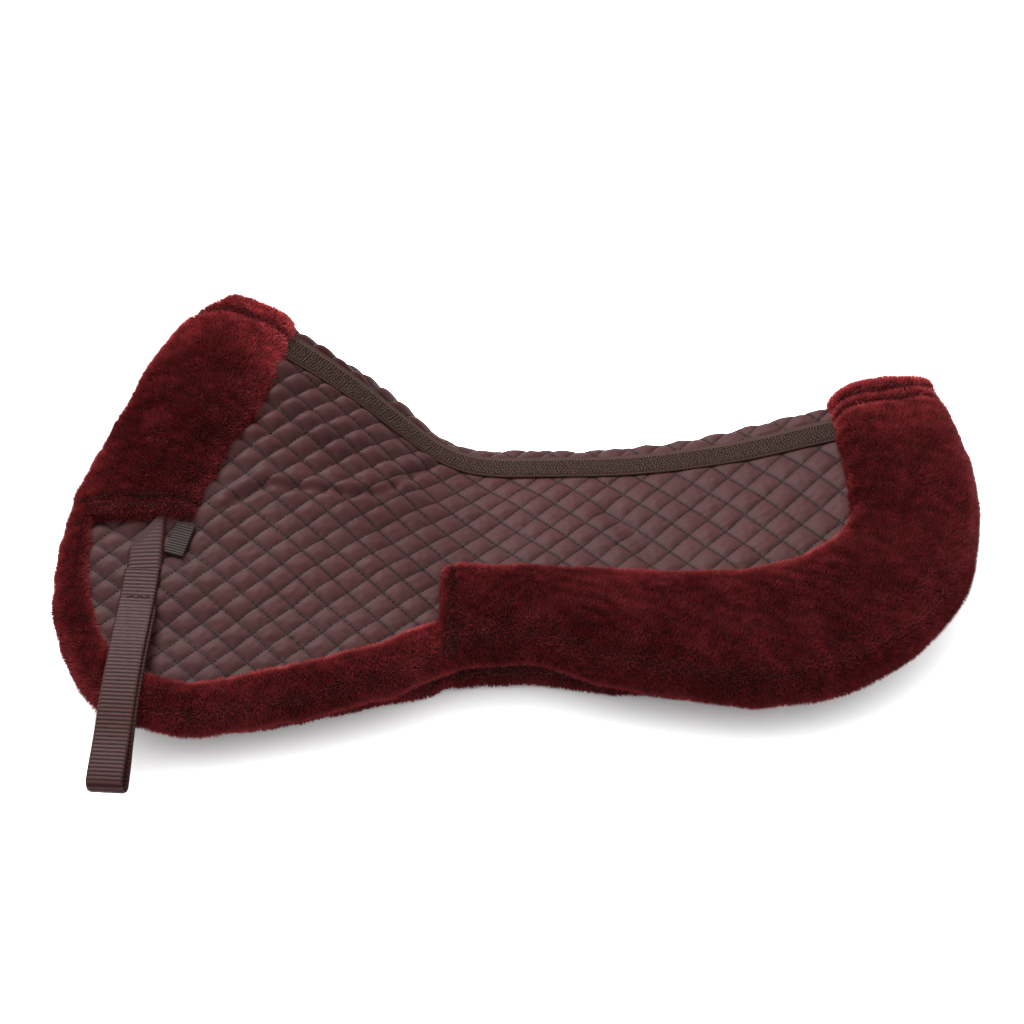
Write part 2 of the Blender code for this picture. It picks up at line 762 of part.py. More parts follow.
def hang_on(pivot, pieces):
    """Parents pieces to an empty without moving them."""
    for piece in pieces:
        piece.parent = pivot
        piece.matrix_parent_inverse = pivot.matrix_world.inverted()


def make_pivot(name, place, group):
    pivot = bpy.data.objects.new(name, None)
    pivot.empty_display_size = AXIS_MARK
    pivot.location = place
    group.objects.link(pivot)
    bpy.context.view_layer.update()
    return pivot


def stand_on_origin(group):
    """Moves everything so that the origin is under the middle of the pad, on the ground."""
    bpy.context.view_layer.update()
    shapes = bpy.context.evaluated_depsgraph_get()
    corners = []
    for item in group.objects:
        if item.type == "MESH":
            shape = item.evaluated_get(shapes)
            corners += [shape.matrix_world @ Vector(corner) for corner in shape.bound_box]
    low = Vector([min(corner[axis] for corner in corners) for axis in range(3)])
    high = Vector([max(corner[axis] for corner in corners) for axis in range(3)])
    middle = lerp(low, high, 0.5)
    for item in group.objects:
        if item.parent is None:
            item.location -= Vector((middle.x, middle.y, low.z))


def build():
    clear_scene()
    group = new_collection("half_pad")
    paint = {
        "plush": make_material("burgundy_plush", (0.095, 0.012, 0.014), 0.95),
        "quilting": make_material("quilted_cotton", (0.145, 0.070, 0.070), 0.75),
        "foam": make_material("foam", (0.60, 0.57, 0.48), 0.9),
        "tape": make_material("spine_tape", (0.080, 0.055, 0.047), 0.85),
        "webbing": make_material("webbing", (0.120, 0.050, 0.045), 0.7),
        "label": make_material("label", (0.070, 0.035, 0.035), 0.8),
    }
    upper = flap_pieces(UPPER, paint, group)
    upper.append(spine_tape(paint, group))
    upper.append(flat_on_flap(UPPER, "care_label", LABEL_PLACE, LABEL_SIZE, LABEL_TURN, LABEL,
                              SEAT_GAP, paint["label"], group))
    tab, loop = left_strap(paint, group)
    axis_middle = lerp(axis_point(PAD_FRONT), axis_point(PAD_REAR), 0.5)
    fold = make_pivot("spine_fold_axis", axis_middle, group)
    hang_on(fold, upper + [tab, loop])
    flap_pieces(LOWER, paint, group)
    fold_pieces(paint, group)
    right_strap(paint, group)
    stand_on_origin(group)


build()
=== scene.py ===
"""Looks of a half pad, folded along its spine and lying on its right flap.

It is built in the order in which the real pad is put together: the quilted cover and its
stitches, the plush lining, the plush edges, the tape over the spine, the straps and the label.
"""
import json
import math

import bmesh
import bpy
import numpy as np
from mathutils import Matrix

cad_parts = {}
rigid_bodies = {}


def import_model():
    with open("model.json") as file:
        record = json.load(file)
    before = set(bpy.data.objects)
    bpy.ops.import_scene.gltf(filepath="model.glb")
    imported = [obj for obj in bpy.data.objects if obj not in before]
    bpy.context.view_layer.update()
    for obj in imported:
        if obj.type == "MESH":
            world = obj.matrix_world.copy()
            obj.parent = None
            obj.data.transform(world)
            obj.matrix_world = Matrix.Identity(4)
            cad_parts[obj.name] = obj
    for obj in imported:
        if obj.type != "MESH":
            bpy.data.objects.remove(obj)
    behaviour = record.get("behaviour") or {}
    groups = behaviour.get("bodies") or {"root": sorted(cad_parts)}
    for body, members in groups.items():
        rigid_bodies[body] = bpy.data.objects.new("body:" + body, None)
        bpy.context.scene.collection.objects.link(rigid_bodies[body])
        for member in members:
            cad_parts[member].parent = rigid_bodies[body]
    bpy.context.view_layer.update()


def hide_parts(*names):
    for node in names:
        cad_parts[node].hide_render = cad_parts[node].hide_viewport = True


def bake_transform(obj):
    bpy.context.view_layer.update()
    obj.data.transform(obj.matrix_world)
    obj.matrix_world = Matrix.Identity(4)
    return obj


for leftover in list(bpy.data.objects):
    bpy.data.objects.remove(leftover)

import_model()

# Studio
# White paper in a white room that is brighter overhead than at its sides, with one soft lamp
# behind the pad and to its left. The camera looks down on the pad from its open side.
MM = 0.001
CAMERA_HEIGHT = 40.0
CAMERA_DISTANCE = 1.8
CAMERA_LENS = 85.0
LOOKED_AT = (-0.0082, 0.0659, 0.050)
PAPER_WHITES = ("#f7f7f7", "#fdfdfd")
FLOOR_REACH = 12.0
LAMP_WATTS, LAMP_SIZE = 175.0, 1.3
LAMP_PLACE, LAMP_TURN = (-0.75, 1.25, 1.85), (-34, -23.5, 0)
ROOM_SIDES, ROOM_TOP = 1.2, 2.6

scene = bpy.context.scene


def linear(hex_colour):
    """Turns an sRGB hex colour into the linear one that the shaders take."""
    shares = [int(hex_colour[k : k + 2], 16) / 255 for k in (1, 3, 5)]
    return [s / 12.92 if s <= 0.04045 else ((s + 0.055) / 1.055) ** 2.4 for s in shares] + [1.0]


def add_node(tree, kind, inputs=None, **settings):
    """Adds a node. An input is given a value, or the socket that feeds it."""
    made = tree.nodes.new(kind)
    for name, value in settings.items():
        setattr(made, name, value)
    for key, value in (inputs or {}).items():
        if isinstance(value, bpy.types.NodeSocket):
            tree.links.new(value, made.inputs[key])
        else:
            made.inputs[key].default_value = value
    return made


def new_material(name):
    """A material with nothing but its output; returns it and its tree."""
    material = bpy.data.materials.new(name)
    material.use_nodes = True
    material.node_tree.nodes.clear()
    return material, material.node_tree


def finished(material, values):
    """Ends a material: its surface takes the values and is what the material shows."""
    surface = add_node(material.node_tree, "ShaderNodeBsdfPrincipled", values)
    add_node(material.node_tree, "ShaderNodeOutputMaterial", {"Surface": surface.outputs[0]})
    return material


def sweep_paper():
    """Matte white paper, with faint uneven patches a third of a metre across."""
    material, tree = new_material("white_sweep_paper")
    place = add_node(tree, "ShaderNodeTexCoord").outputs["Object"]
    patch = add_node(tree, "ShaderNodeTexNoise", {"Vector": place, "Scale": 3.0, "Detail": 2.0})
    tint = add_node(tree, "ShaderNodeMix", {
        "Factor": patch.outputs[0], 6: linear(PAPER_WHITES[0]), 7: linear(PAPER_WHITES[1])},
        data_type="RGBA")
    return finished(material, {"Base Color": tint.outputs[2], "Roughness": 0.9})


floor = bpy.data.objects.new("floor", bpy.data.meshes.new("floor"))
corners = [(-FLOOR_REACH, -FLOOR_REACH, 0.0), (FLOOR_REACH, -FLOOR_REACH, 0.0),
           (FLOOR_REACH, FLOOR_REACH, 0.0), (-FLOOR_REACH, FLOOR_REACH, 0.0)]
floor.data.from_pydata(corners, [], [(0, 1, 2, 3)])
floor.data.materials.append(sweep_paper())
scene.collection.objects.link(floor)

camera = bpy.data.objects.new("camera", bpy.data.cameras.new("camera"))
camera.data.lens = CAMERA_LENS
tilt = math.radians(CAMERA_HEIGHT)
camera.location = (LOOKED_AT[0], LOOKED_AT[1] - CAMERA_DISTANCE * math.cos(tilt),
                   LOOKED_AT[2] + CAMERA_DISTANCE * math.sin(tilt))
camera.rotation_euler = (math.pi / 2 - tilt, 0.0, 0.0)
scene.collection.objects.link(camera)
scene.camera = camera

lamp = bpy.data.objects.new("rear_softbox", bpy.data.lights.new("rear_softbox", "AREA"))
lamp.data.energy = LAMP_WATTS
lamp.data.shape = "DISK"
lamp.data.size = LAMP_SIZE
lamp.location = LAMP_PLACE
lamp.rotation_euler = [math.radians(angle) for angle in LAMP_TURN]
scene.collection.objects.link(lamp)


def studio_room():
    """White room: more light comes from overhead than from its sides."""
    room = bpy.data.worlds.new("studio")
    room.use_nodes = True
    tree = room.node_tree
    tree.nodes.clear()
    way = add_node(tree, "ShaderNodeTexCoord").outputs["Generated"]
    up = add_node(tree, "ShaderNodeSeparateXYZ", {0: way}).outputs[2]
    silk = add_node(tree, "ShaderNodeMapRange", {0: up, 1: 0.0, 2: 1.0, 3: ROOM_SIDES,
                                                 4: ROOM_TOP})
    glow = add_node(tree, "ShaderNodeBackground", {"Color": linear("#ffffff"),
                                                   "Strength": silk.outputs[0]})
    add_node(tree, "ShaderNodeOutputWorld", {"Surface": glow.outputs[0]})
    return room


scene.world = studio_room()
scene.view_settings.view_transform = "Standard"

# The pad's form
# Both flaps and the fold between them are one thick sheet, bent double over the spine. A place
# on the sheet is x, along the spine, and w, across it: w is 0 or less on the upper flap, runs
# over the fold, and goes on down the lower flap. All of these are in millimetres.
STACK = 15.8
FOLD_RADIUS = 16.05
FOLD_LENGTH = 50.0
EDGE_LEVEL, EDGE_LINE = 42.5, -200.0
FLAP_BULGE, FLAP_SAG_POWER = 6.0, 1.25
SPINE_HEIGHTS = np.array([
    (-330, 108), (-315, 120), (-291, 134), (-266, 143), (-220, 150), (-188, 141), (-167, 132),
    (-123, 105), (-85, 77), (-55, 56), (-24, 46), (30, 45), (98, 47), (174, 57), (246, 73),
    (294, 80), (324, 84)], float)
TAPE_WIDTH = 25.0
TAPE_LINE = (60.0, 50.0, 0.5)
RUN_ON = (3.0, 12.0)
PRESSED_RISE, RISE_REACH, RISE_POWER = 10.0, 170.0, 1.8
AXIS_LINE = ((-220.0, 104.0), (324.0, 80.0))
TRIM_REACH = 0.35
LOWER_INSET, WAIST_X = 28.0, 45.0
SHOW_X, WAIST_SHOW, WAIST_SPREAD = 0.0, 20.0, 70.0
FRONT_END, REAR_END = -220.0, 324.0
PATCH_END, ROLL_START = -167.0, 246.0
PAD_CENTRE = np.array((8.207, -65.881, 0.0))
SPLIT, SPLIT_SLOPE, BEND_REACH = 62.0, 0.5, 180.0


def smooth_step(t):
    """Nought below 0, 1 above 1, and a smooth rise between."""
    t = np.clip(t, 0.0, 1.0)
    return t * t * (3 - 2 * t)


def spine_height(x):
    """Height of the spine at x, on the smooth curve through its points."""
    knots, heights = SPINE_HEIGHTS.T
    slopes = np.gradient(heights, 1.0) / np.gradient(knots, 1.0)
    x = np.clip(x, knots[0], knots[-1] - 1e-6)
    k = np.clip(np.searchsorted(knots, x, side="right") - 1, 0, len(knots) - 2)
    span = knots[k + 1] - knots[k]
    t = (x - knots[k]) / span
    bend = slopes[k] * (t - 2 * t**2 + t**3) + slopes[k + 1] * (t**3 - t**2)
    return heights[k] + (heights[k + 1] - heights[k]) * smooth_step(t) + span * bend


def run_on(x):
    """How far the cover runs on behind the tape before it turns over."""
    share = smooth_step((x - WAIST_X) / (ROLL_START - WAIST_X))
    return RUN_ON[0] + (RUN_ON[1] - RUN_ON[0]) * share


def spine_y(x):
    """Where the upper flap ends and the fold begins."""
    tape_middle = TAPE_LINE[0] + TAPE_LINE[2] * (spine_height(x) - TAPE_LINE[1])
    return tape_middle + TAPE_WIDTH / 2 + run_on(x)


def upper_face(x, y):
    """Height of the upper flap's quilted face, which climbs from its edge to the spine."""
    share = np.clip((y - EDGE_LINE) / (spine_y(x) - EDGE_LINE), 0.0, 1.0)
    climb = (spine_height(x) - EDGE_LEVEL) * share**FLAP_SAG_POWER
    return EDGE_LEVEL + climb + FLAP_BULGE * 4 * share * (1 - share)


def lower_face(x, y):
    """Height of the lower flap's quilted face: flat on the ground, and up to the fold."""
    rise = np.maximum(spine_height(x) - 2 * STACK - 0.5 - PRESSED_RISE, 0.0)
    reach = RISE_REACH * np.sqrt(rise / RISE_REACH) + 0.3
    share = np.clip(1 - (spine_y(x) - y) / reach, 0.0, 1.0)
    return PRESSED_RISE + rise * share**RISE_POWER


def lower_plan(x, y):
    """Where a point of the flap's outline lies once the flap is underneath."""
    depth = (spine_y(x) - y) / (spine_y(x) - EDGE_LINE)
    share = smooth_step(depth)
    (x0, y0), (x1, y1) = AXIS_LINE
    limit = y0 + (y1 - y0) * (x - x0) / (x1 - x0)
    trim = np.maximum(spine_y(x) - limit, 0.0) * (1 - smooth_step(depth / TRIM_REACH))
    show = WAIST_SHOW * np.exp(-(((x - SHOW_X) / WAIST_SPREAD) ** 2))
    end_share = smooth_step(np.abs(x - WAIST_X) / (REAR_END - WAIST_X))
    moved_x = x - LOWER_INSET * end_share * share * np.sign(x - WAIST_X)
    return moved_x, y + (LOWER_INSET - show) * share - trim


def on_sheet(x, w, height):
    """Points in millimetres: height is measured from the quilted face, outwards."""
    x, w, height = np.broadcast_arrays(*[np.asarray(v, float) for v in (x, w, height)])
    y = spine_y(x) + np.minimum(w, 0.0)
    upper = np.stack([x, y, upper_face(x, y) + height], -1)
    lower_x, lower_y = lower_plan(x, spine_y(x) - np.maximum(w - FOLD_LENGTH, 0.0))
    lower = np.stack([lower_x, lower_y, lower_face(lower_x, lower_y) - height], -1)
    start = np.stack([x, spine_y(x), spine_height(x)], -1)
    end_x, end_y = lower_plan(x, spine_y(x))
    end = np.stack([end_x, end_y, lower_face(end_x, end_y)], -1)
    half = (start - end) / 2
    behind = np.stack([np.zeros_like(x), half[..., 2], -half[..., 1]], -1)
    behind /= np.linalg.norm(behind, axis=-1, keepdims=True)
    turn = (np.pi * np.clip(w / FOLD_LENGTH, 0.0, 1.0))[..., None]
    out = np.array((0.0, 0.0, 1.0)) * np.cos(turn) + behind * np.sin(turn)
    fold = (start + end) / 2 + half * np.cos(turn) + behind * FOLD_RADIUS * np.sin(turn)
    fold = fold + out * height[..., None]
    bent = np.where((w <= 0)[..., None], upper, fold)
    return np.where((w >= FOLD_LENGTH)[..., None], lower, bent)


def split_line(x):
    """The w at which the fold crosses, for the last time, the plane that parts the two flaps."""
    tries = np.linspace(0.0, FOLD_LENGTH, 201)
    places = on_sheet(np.asarray(x, float)[..., None], tries, 0.0)
    beyond = places[..., 1] - SPLIT_SLOPE * places[..., 2] > SPLIT
    last = len(tries) - 1 - np.argmax(beyond[..., ::-1], axis=-1)
    return tries[last]


def to_row(points):
    """Places in the drawing's millimetres, as metres in the frame that the pad stands in."""
    return (np.asarray(points) - PAD_CENTRE) * MM


def waves(points, length, seed):
    """Smooth uneven field of about unit size, whose bumps are about length apart."""
    chance = np.random.default_rng(seed)
    field = np.zeros(points.shape[:-1])
    for _ in range(14):
        way = chance.normal(size=points.shape[-1])
        way *= chance.uniform(0.7, 1.4) / np.linalg.norm(way)
        field += np.sin(points @ way * (2 * np.pi / length) + chance.uniform(0, 6.3))
    return field / np.sqrt(7.0)


def mark(item, name, values):
    """Keeps a value for each point of a piece, for its material to read."""
    item.data.attributes.new(name, "FLOAT", "POINT").data.foreach_set(
        "value", np.asarray(values, np.float32).ravel())


def sheet_object(name, points, outward, keep=None, **marks):
    """Object from a grid of points in millimetres; keep masks its cells, and marks are the
    values that are kept with its points."""
    columns, rows = points.shape[:2]
    index = np.arange(columns * rows).reshape(columns, rows)
    quads = np.stack([index[:-1, :-1], index[1:, :-1], index[1:, 1:], index[:-1, 1:]], -1)
    if keep is not None:
        quads = quads[keep]
    quads = quads.reshape(-1, 4)
    if not outward:
        quads = quads[:, ::-1]
    used, quads = np.unique(quads, return_inverse=True)
    quads = quads.reshape(-1, 4)
    mesh = bpy.data.meshes.new(name)
    mesh.from_pydata(to_row(points.reshape(-1, 3)[used]), [], quads.tolist())
    mesh.shade_smooth()
    item = bpy.data.objects.new(name, mesh)
    scene.collection.objects.link(item)
    for label, values in marks.items():
        mark(item, label, np.broadcast_to(values, (columns, rows)).ravel()[used])
    return item


def push_out(item, heights):
    """Moves each point of a piece along its normal, by heights in millimetres."""
    mesh = item.data
    places, normals = np.empty(len(mesh.vertices) * 3), np.empty(len(mesh.vertices) * 3)
    mesh.vertices.foreach_get("co", places)
    mesh.vertex_normals.foreach_get("vector", normals)
    moved = places.reshape(-1, 3) + normals.reshape(-1, 3) * np.asarray(heights)[:, None] * MM
    mesh.vertices.foreach_set("co", moved.ravel())
    mesh.update()


def places_mm(item):
    """The piece's points, in millimetres, in the row frame."""
    places = np.empty(len(item.data.vertices) * 3)
    item.data.vertices.foreach_get("co", places)
    return places.reshape(-1, 3) / MM


def bend_with_fold(piece):
    """Bakes the piece's placing into its mesh."""
    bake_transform(piece)


# Outlines of the flap, in plan: the pattern that the cloth and the plush are cut to
FRONT_EDGE = [(-239, 119), (-265, 90), (-291, 35), (-314, -14)]
HEM_END = (-322, -48)
BINDING_EDGE = [
    (-325, -95), (-320, -131), (-304, -170), (-280, -197), (-247, -211), (-212, -216),
    (-145, -201), (-77, -178)]
STEP_END = (-50, -161)
ROLL_EDGE = [
    (-20, -151), (20, -151), (55, -166), (88, -176), (129, -184), (164, -189), (198, -187),
    (234, -177), (271, -156), (301, -128), (325, -92), (339, -41), (343, -5), (339, 32),
    (333, 66)]
PATCH_INNER = [(-185, 48), (-204, 11), (-222, -27)]
PATCH_CORNER = (-228, -52)
ROLL_CORNER = (-48, -72)
ROLL_INNER = [(-9, -71), (63, -73), (135, -79), (193, -73), (230, -54), (249, -28), (251, 8),
              (249, 50)]
HEM_BINDING_WIDTH, BINDING_WIDTH, BINDING_TAPER = 18.0, 34.0, 0.5
EDGE_WALL = 12.0


def smooth_path(points, steps=12):
    """The smooth curve through the points, and the place in it of each of them."""
    points = np.asarray(points, float)
    path, marks = [], []
    for k in range(len(points) - 1):
        a, b, c = points[max(k - 1, 0)], points[k], points[k + 1]
        d = points[min(k + 2, len(points) - 1)]
        marks.append(len(path))
        for t in np.arange(steps) / steps:
            path.append((2 * b + (c - a) * t + (2 * a - 5 * b + 4 * c - d) * t**2
                         + (3 * b - a - 3 * c + d) * t**3) / 2)
    marks.append(len(path))
    return np.array(path + [points[-1]]), marks


def run_along(path):
    """How far along a path each of its points lies."""
    return np.concatenate([[0.0], np.cumsum(np.linalg.norm(np.diff(path, axis=0), axis=1))])


def evenly(path, count):
    """The path again, through so many points at even distances."""
    run = run_along(path)
    at = np.linspace(0.0, run[-1], count)
    return np.stack([np.interp(at, run, path[:, k]) for k in range(2)], -1)


def on_spine(x):
    """The point of a flap's outline at which it meets the fold."""
    return (x, float(spine_y(np.array(float(x)))))


outline = [on_spine(FRONT_END)] + FRONT_EDGE + [HEM_END] + BINDING_EDGE + [STEP_END]
outline += ROLL_EDGE + [on_spine(REAR_END)]
edge_path, edge_marks = smooth_path(outline)
hem_mark = edge_marks[1 + len(FRONT_EDGE)]
step_mark = edge_marks[2 + len(FRONT_EDGE) + len(BINDING_EDGE)]
patch_edge, binding_edge = edge_path[: hem_mark + 1], edge_path[hem_mark - 4 : step_mark + 6]
roll_edge = edge_path[step_mark:]
patch_line = smooth_path([on_spine(PATCH_END)] + PATCH_INNER + [PATCH_CORNER])[0]
roll_line = smooth_path([ROLL_CORNER] + ROLL_INNER + [on_spine(ROLL_START)])[0]


def inwards_of(edge):
    """Unit steps from each point of an outline to the inside of the flap."""
    along = np.gradient(edge, axis=0)
    normal = np.stack([-along[:, 1], along[:, 0]], -1)
    return normal / np.linalg.norm(normal, axis=1, keepdims=True)


def binding_widths():
    """The binding is narrower towards the hem of the patch."""
    run = run_along(binding_edge)
    share = np.clip(run / run[-1] / BINDING_TAPER, 0.0, 1.0)
    return (HEM_BINDING_WIDTH + (BINDING_WIDTH - HEM_BINDING_WIDTH) * share)[:, None]


def inside(points, corners):
    """Which points lie within the outline that the corners make."""
    x, y = points[..., 0], points[..., 1]
    found = np.zeros(x.shape, bool)
    for (x0, y0), (x1, y1) in zip(corners, np.roll(corners, -1, axis=0)):
        crosses = (y0 > y) != (y1 > y)
        with np.errstate(divide="ignore", invalid="ignore"):
            found ^= crosses & (x < (x1 - x0) * (y - y0) / (y1 - y0) + x0)
    return found


# Quilted covers
# Closely woven cotton with a faint satin sheen, quilted over foam in diamonds with sides of
# about 18 mm. Each one is puffed, and the cloth puckers at the thread. The seams of each of the
# two sets are counted from the front: a count is the first row's powers of x, plus y times
# the second row's, with both in units of 100 mm.
CELL = 18.0
COVER_SPAN, CLOTH_STEP = (-304.0, 268.0), 1.35
SEAM_COUNTS = (((1.0, 4.849, -0.159, -0.046), (-4.302, 0.392, 0.003)),
               ((2.56, 3.19, 0.065, 0.008), (3.37, -0.355, 0.06)))
SEAM_SPAN = 40
TUCKED_UNDER, SEAMS_UNDER = 10.0, 2.0
COVER_DEPTH = 372.0
FAR_BEHIND = 500.0
SEAM_DEPTH = 1.5
PUFF, FRONT_PUFF, ROUNDNESS = 2.3, 3.4, 0.55
FULLNESS = (0.78, 1.15)
PUCKER_REACH, PUCKER_PITCH, PUCKER_RISE = 2.6, 4.6, 0.28
HELD_FROM, HELD_OVER, HELD_LEVEL = -1.0, 4.5, -0.9
TAPE_MIDDLE, TAPE_HALF = 40, 216
TUCK_DEPTH, TUCK_WIDTH, TUCK_LIP, LIP_PLACE, LIP_WIDTH = 1.8, 3.5, 1.3, 7.0, 5.0
VALLEY_DEPTH, VALLEY_WIDTH = 2.2, 9.0
THREAD, STITCH, STITCH_PITCH = 0.72, 2.5, 3.2
SEAM_SHADE, LAID_ON = 1.1, 0.8
# Patterns in repeats to the metre: fades 70 mm across, slubs 1.1 mm and painted glints 2.4 mm
# apart, and a twill whose ridges come out 2.8 mm apart, since the real ones are too fine to show
FADES, SLUBS, GLINTS, TWILL = 14.0, 900.0, 420.0, 130.8333
TUCK = [(-58, 47), (-94, -6), (-118, -16), (-144, -18), (-179, -22), (-201, -37)]
VALLEY = [(71, 3), (101, -50)]


def seam_counts(x):
    """For both sets of seams, the count at x where y is nought, and how it rises with y."""
    share = np.asarray(x, float) / 100.0
    return [(np.polynomial.polynomial.polyval(share, start),
             np.polynomial.polynomial.polyval(share, rise) / 100.0)
            for start, rise in SEAM_COUNTS]


def lattice(x, y):
    """Place in the quilting, where whole numbers lie on the stitch lines."""
    return [start + rise * y for start, rise in seam_counts(x)]


def distance_to(path, x, y):
    """Distance from points to a path, and on which side of it they lie."""
    best = np.full(x.shape, 1e9)
    side = np.zeros(x.shape)
    for (x0, y0), (x1, y1) in zip(path, path[1:]):
        span = (x1 - x0) ** 2 + (y1 - y0) ** 2
        t = np.clip(((x - x0) * (x1 - x0) + (y - y0) * (y1 - y0)) / span, 0, 1)
        off = np.hypot(x - x0 - t * (x1 - x0), y - y0 - t * (y1 - y0))
        turn = np.sign((x1 - x0) * (y - y0) - (y1 - y0) * (x - x0))
        side = np.where(off < best, turn, side)
        best = np.minimum(best, off)
    return best, side


def quilt_height(x, y, seed):
    """Height of the quilted cloth over the flap's even surface."""
    u, v = lattice(x, y)
    fullness = np.random.default_rng(seed).uniform(*FULLNESS, (64, 64))
    fullness = fullness[np.floor(u).astype(int) % 64, np.floor(v).astype(int) % 64]
    puff = PUFF + FRONT_PUFF * smooth_step((-x - 30) / 90) * smooth_step((y + 40) / 80)
    rise = np.abs(np.sin(np.pi * u) * np.sin(np.pi * v)) ** ROUNDNESS
    height = puff * fullness * rise - SEAM_DEPTH
    spot = np.stack([x, y], -1)
    for place, other in ((u, v), (v, u)):
        near = np.exp(-np.abs(place - np.round(place)) * CELL / PUCKER_REACH)
        phase = other * CELL / PUCKER_PITCH + 0.5 * waves(spot, 40.0, seed + 1)
        ripple = np.sin(2 * np.pi * phase)
        height += PUCKER_RISE * near * ripple * (0.6 + 0.4 * waves(spot, 30.0, seed + 2))
    height += 0.12 * waves(spot, 9.0, seed + 3) * rise + 0.5 * waves(spot, 60.0, seed + 4)
    off_tape = np.abs(y - spine_y(x) + run_on(x) + TAPE_WIDTH / 2) - TAPE_WIDTH / 2
    held_down = 1 - smooth_step((off_tape - HELD_FROM) / HELD_OVER)
    held_down = held_down * (np.abs(x - TAPE_MIDDLE) < TAPE_HALF)
    return height + (HELD_LEVEL - height) * held_down


def quilt_creases(x, y):
    """The tuck that the fold pulls into the cloth, and the dent in its middle."""
    tuck_off, tuck_side = distance_to(TUCK, x, y)
    valley_off, _ = distance_to(VALLEY, x, y)
    across = tuck_off * tuck_side
    tuck = -TUCK_DEPTH * np.exp(-((across / TUCK_WIDTH) ** 2))
    lip = TUCK_LIP * np.exp(-(((across + LIP_PLACE) / LIP_WIDTH) ** 2))
    return tuck + lip - VALLEY_DEPTH * np.exp(-((valley_off / VALLEY_WIDTH) ** 2))


def cover_outline(margin):
    """Edge of the quilting in plan, let out under the plush by a margin."""
    patch = patch_line - inwards_of(patch_line) * margin
    inner = binding_edge + inwards_of(binding_edge) * (binding_widths() - margin)
    roll = roll_line - inwards_of(roll_line) * margin
    hem, step = PATCH_CORNER[1] + margin, ROLL_CORNER[0] + margin
    return np.vstack([
        [(patch[0][0], FAR_BEHIND)], patch[patch[:, 1] > hem], [(inner[0][0], hem)],
        inner[(inner[:, 1] < hem) & (inner[:, 0] < step)], [(step, inner[-1][1])],
        roll[roll[:, 0] > step], [(roll[-1][0], FAR_BEHIND)]])


def in_sheet(side, x, y):
    """Turns a place in a flap's plan, which runs on over the fold, into one across the sheet."""
    beyond = y - spine_y(x)
    return beyond if side == "left" else FOLD_LENGTH - beyond


def fold_limit(side, x):
    """How far beyond the spine a flap's pieces reach, up to the line where the flaps meet."""
    return split_line(x) if side == "left" else FOLD_LENGTH - split_line(x)


def shade_by_seams(x, y):
    """Mask for the painted shade: nought in the puckers beside the thread and 1 on the puffed cloth.
    """
    u, v = lattice(x, y)
    off = np.minimum(np.abs(u - np.round(u)), np.abs(v - np.round(v))) * CELL
    return 1 - np.exp(-((off / SEAM_SHADE) ** 2))


def quilted_cover(side, seed, step):
    """The puffed cloth of a flap, and of its half of the fold."""
    x = np.arange(*COVER_SPAN, step)
    rows = int(COVER_DEPTH / step)
    share = np.linspace(0.0, 1.0, rows)
    top = spine_y(x) + fold_limit(side, x)
    y = top[:, None] - COVER_DEPTH * (1 - share)[None, :]
    x = np.broadcast_to(x[:, None], y.shape)
    height = quilt_height(x, y, seed) + (quilt_creases(x, y) if side == "left" else 0.0)
    places = on_sheet(x, in_sheet(side, x, y), height)
    middle = np.stack([x[:-1, :-1] + step / 2, y[:-1, :-1] + step / 2], -1)
    keep = inside(middle, cover_outline(TUCKED_UNDER))
    return sheet_object(side + "_quilted_cloth", places, side == "left", keep,
                        tip=shade_by_seams(x, y))


def stitch_lines(side, seed):
    """The seams of the quilting, as runs of points in millimetres."""
    corners = cover_outline(SEAMS_UNDER)
    x = np.arange(*COVER_SPAN, 1.0)
    runs = []
    for start, rise in seam_counts(x):
        for count in range(-SEAM_SPAN, SEAM_SPAN + 1):
            y = (count - start) / rise
            kept = inside(np.stack([x, y], -1), corners)
            kept &= y < spine_y(x) + fold_limit(side, x)
            beside = [quilt_height(x + way * LAID_ON, y, seed) for way in (-1, 1)]
            height = sum(beside) / 2 + (quilt_creases(x, y) if side == "left" else 0.0)
            places = on_sheet(x, in_sheet(side, x, y), height)
            for run in np.split(np.arange(len(x)), np.where(np.diff(kept.astype(int)))[0] + 1):
                if kept[run[0]] and len(run) > 4:
                    runs.append(places[run])
    return runs


def geometry_tree(name, inputs):
    """An empty geometry tree with its named inputs, and its first and last nodes."""
    tree = bpy.data.node_groups.new(name, "GeometryNodeTree")
    tree.interface.new_socket("Geometry", in_out="INPUT", socket_type="NodeSocketGeometry")
    for label, kind in inputs.items():
        tree.interface.new_socket(label, in_out="INPUT", socket_type="NodeSocket" + kind)
    tree.interface.new_socket("Geometry", in_out="OUTPUT", socket_type="NodeSocketGeometry")
    return tree, tree.nodes.new("NodeGroupInput"), tree.nodes.new("NodeGroupOutput")


def grow(item, tree, values):
    """Runs a geometry tree on a piece, and keeps what it makes as the piece's plain mesh."""
    modifier = item.modifiers.new(tree.name, "NODES")
    modifier.node_group = tree
    for socket in tree.interface.items_tree:
        if socket.in_out == "INPUT" and socket.name in values:
            modifier[socket.identifier] = values[socket.name]
    shapes = bpy.context.evaluated_depsgraph_get()
    made = bpy.data.meshes.new_from_object(item.evaluated_get(shapes), depsgraph=shapes)
    item.modifiers.clear()
    item.data = made


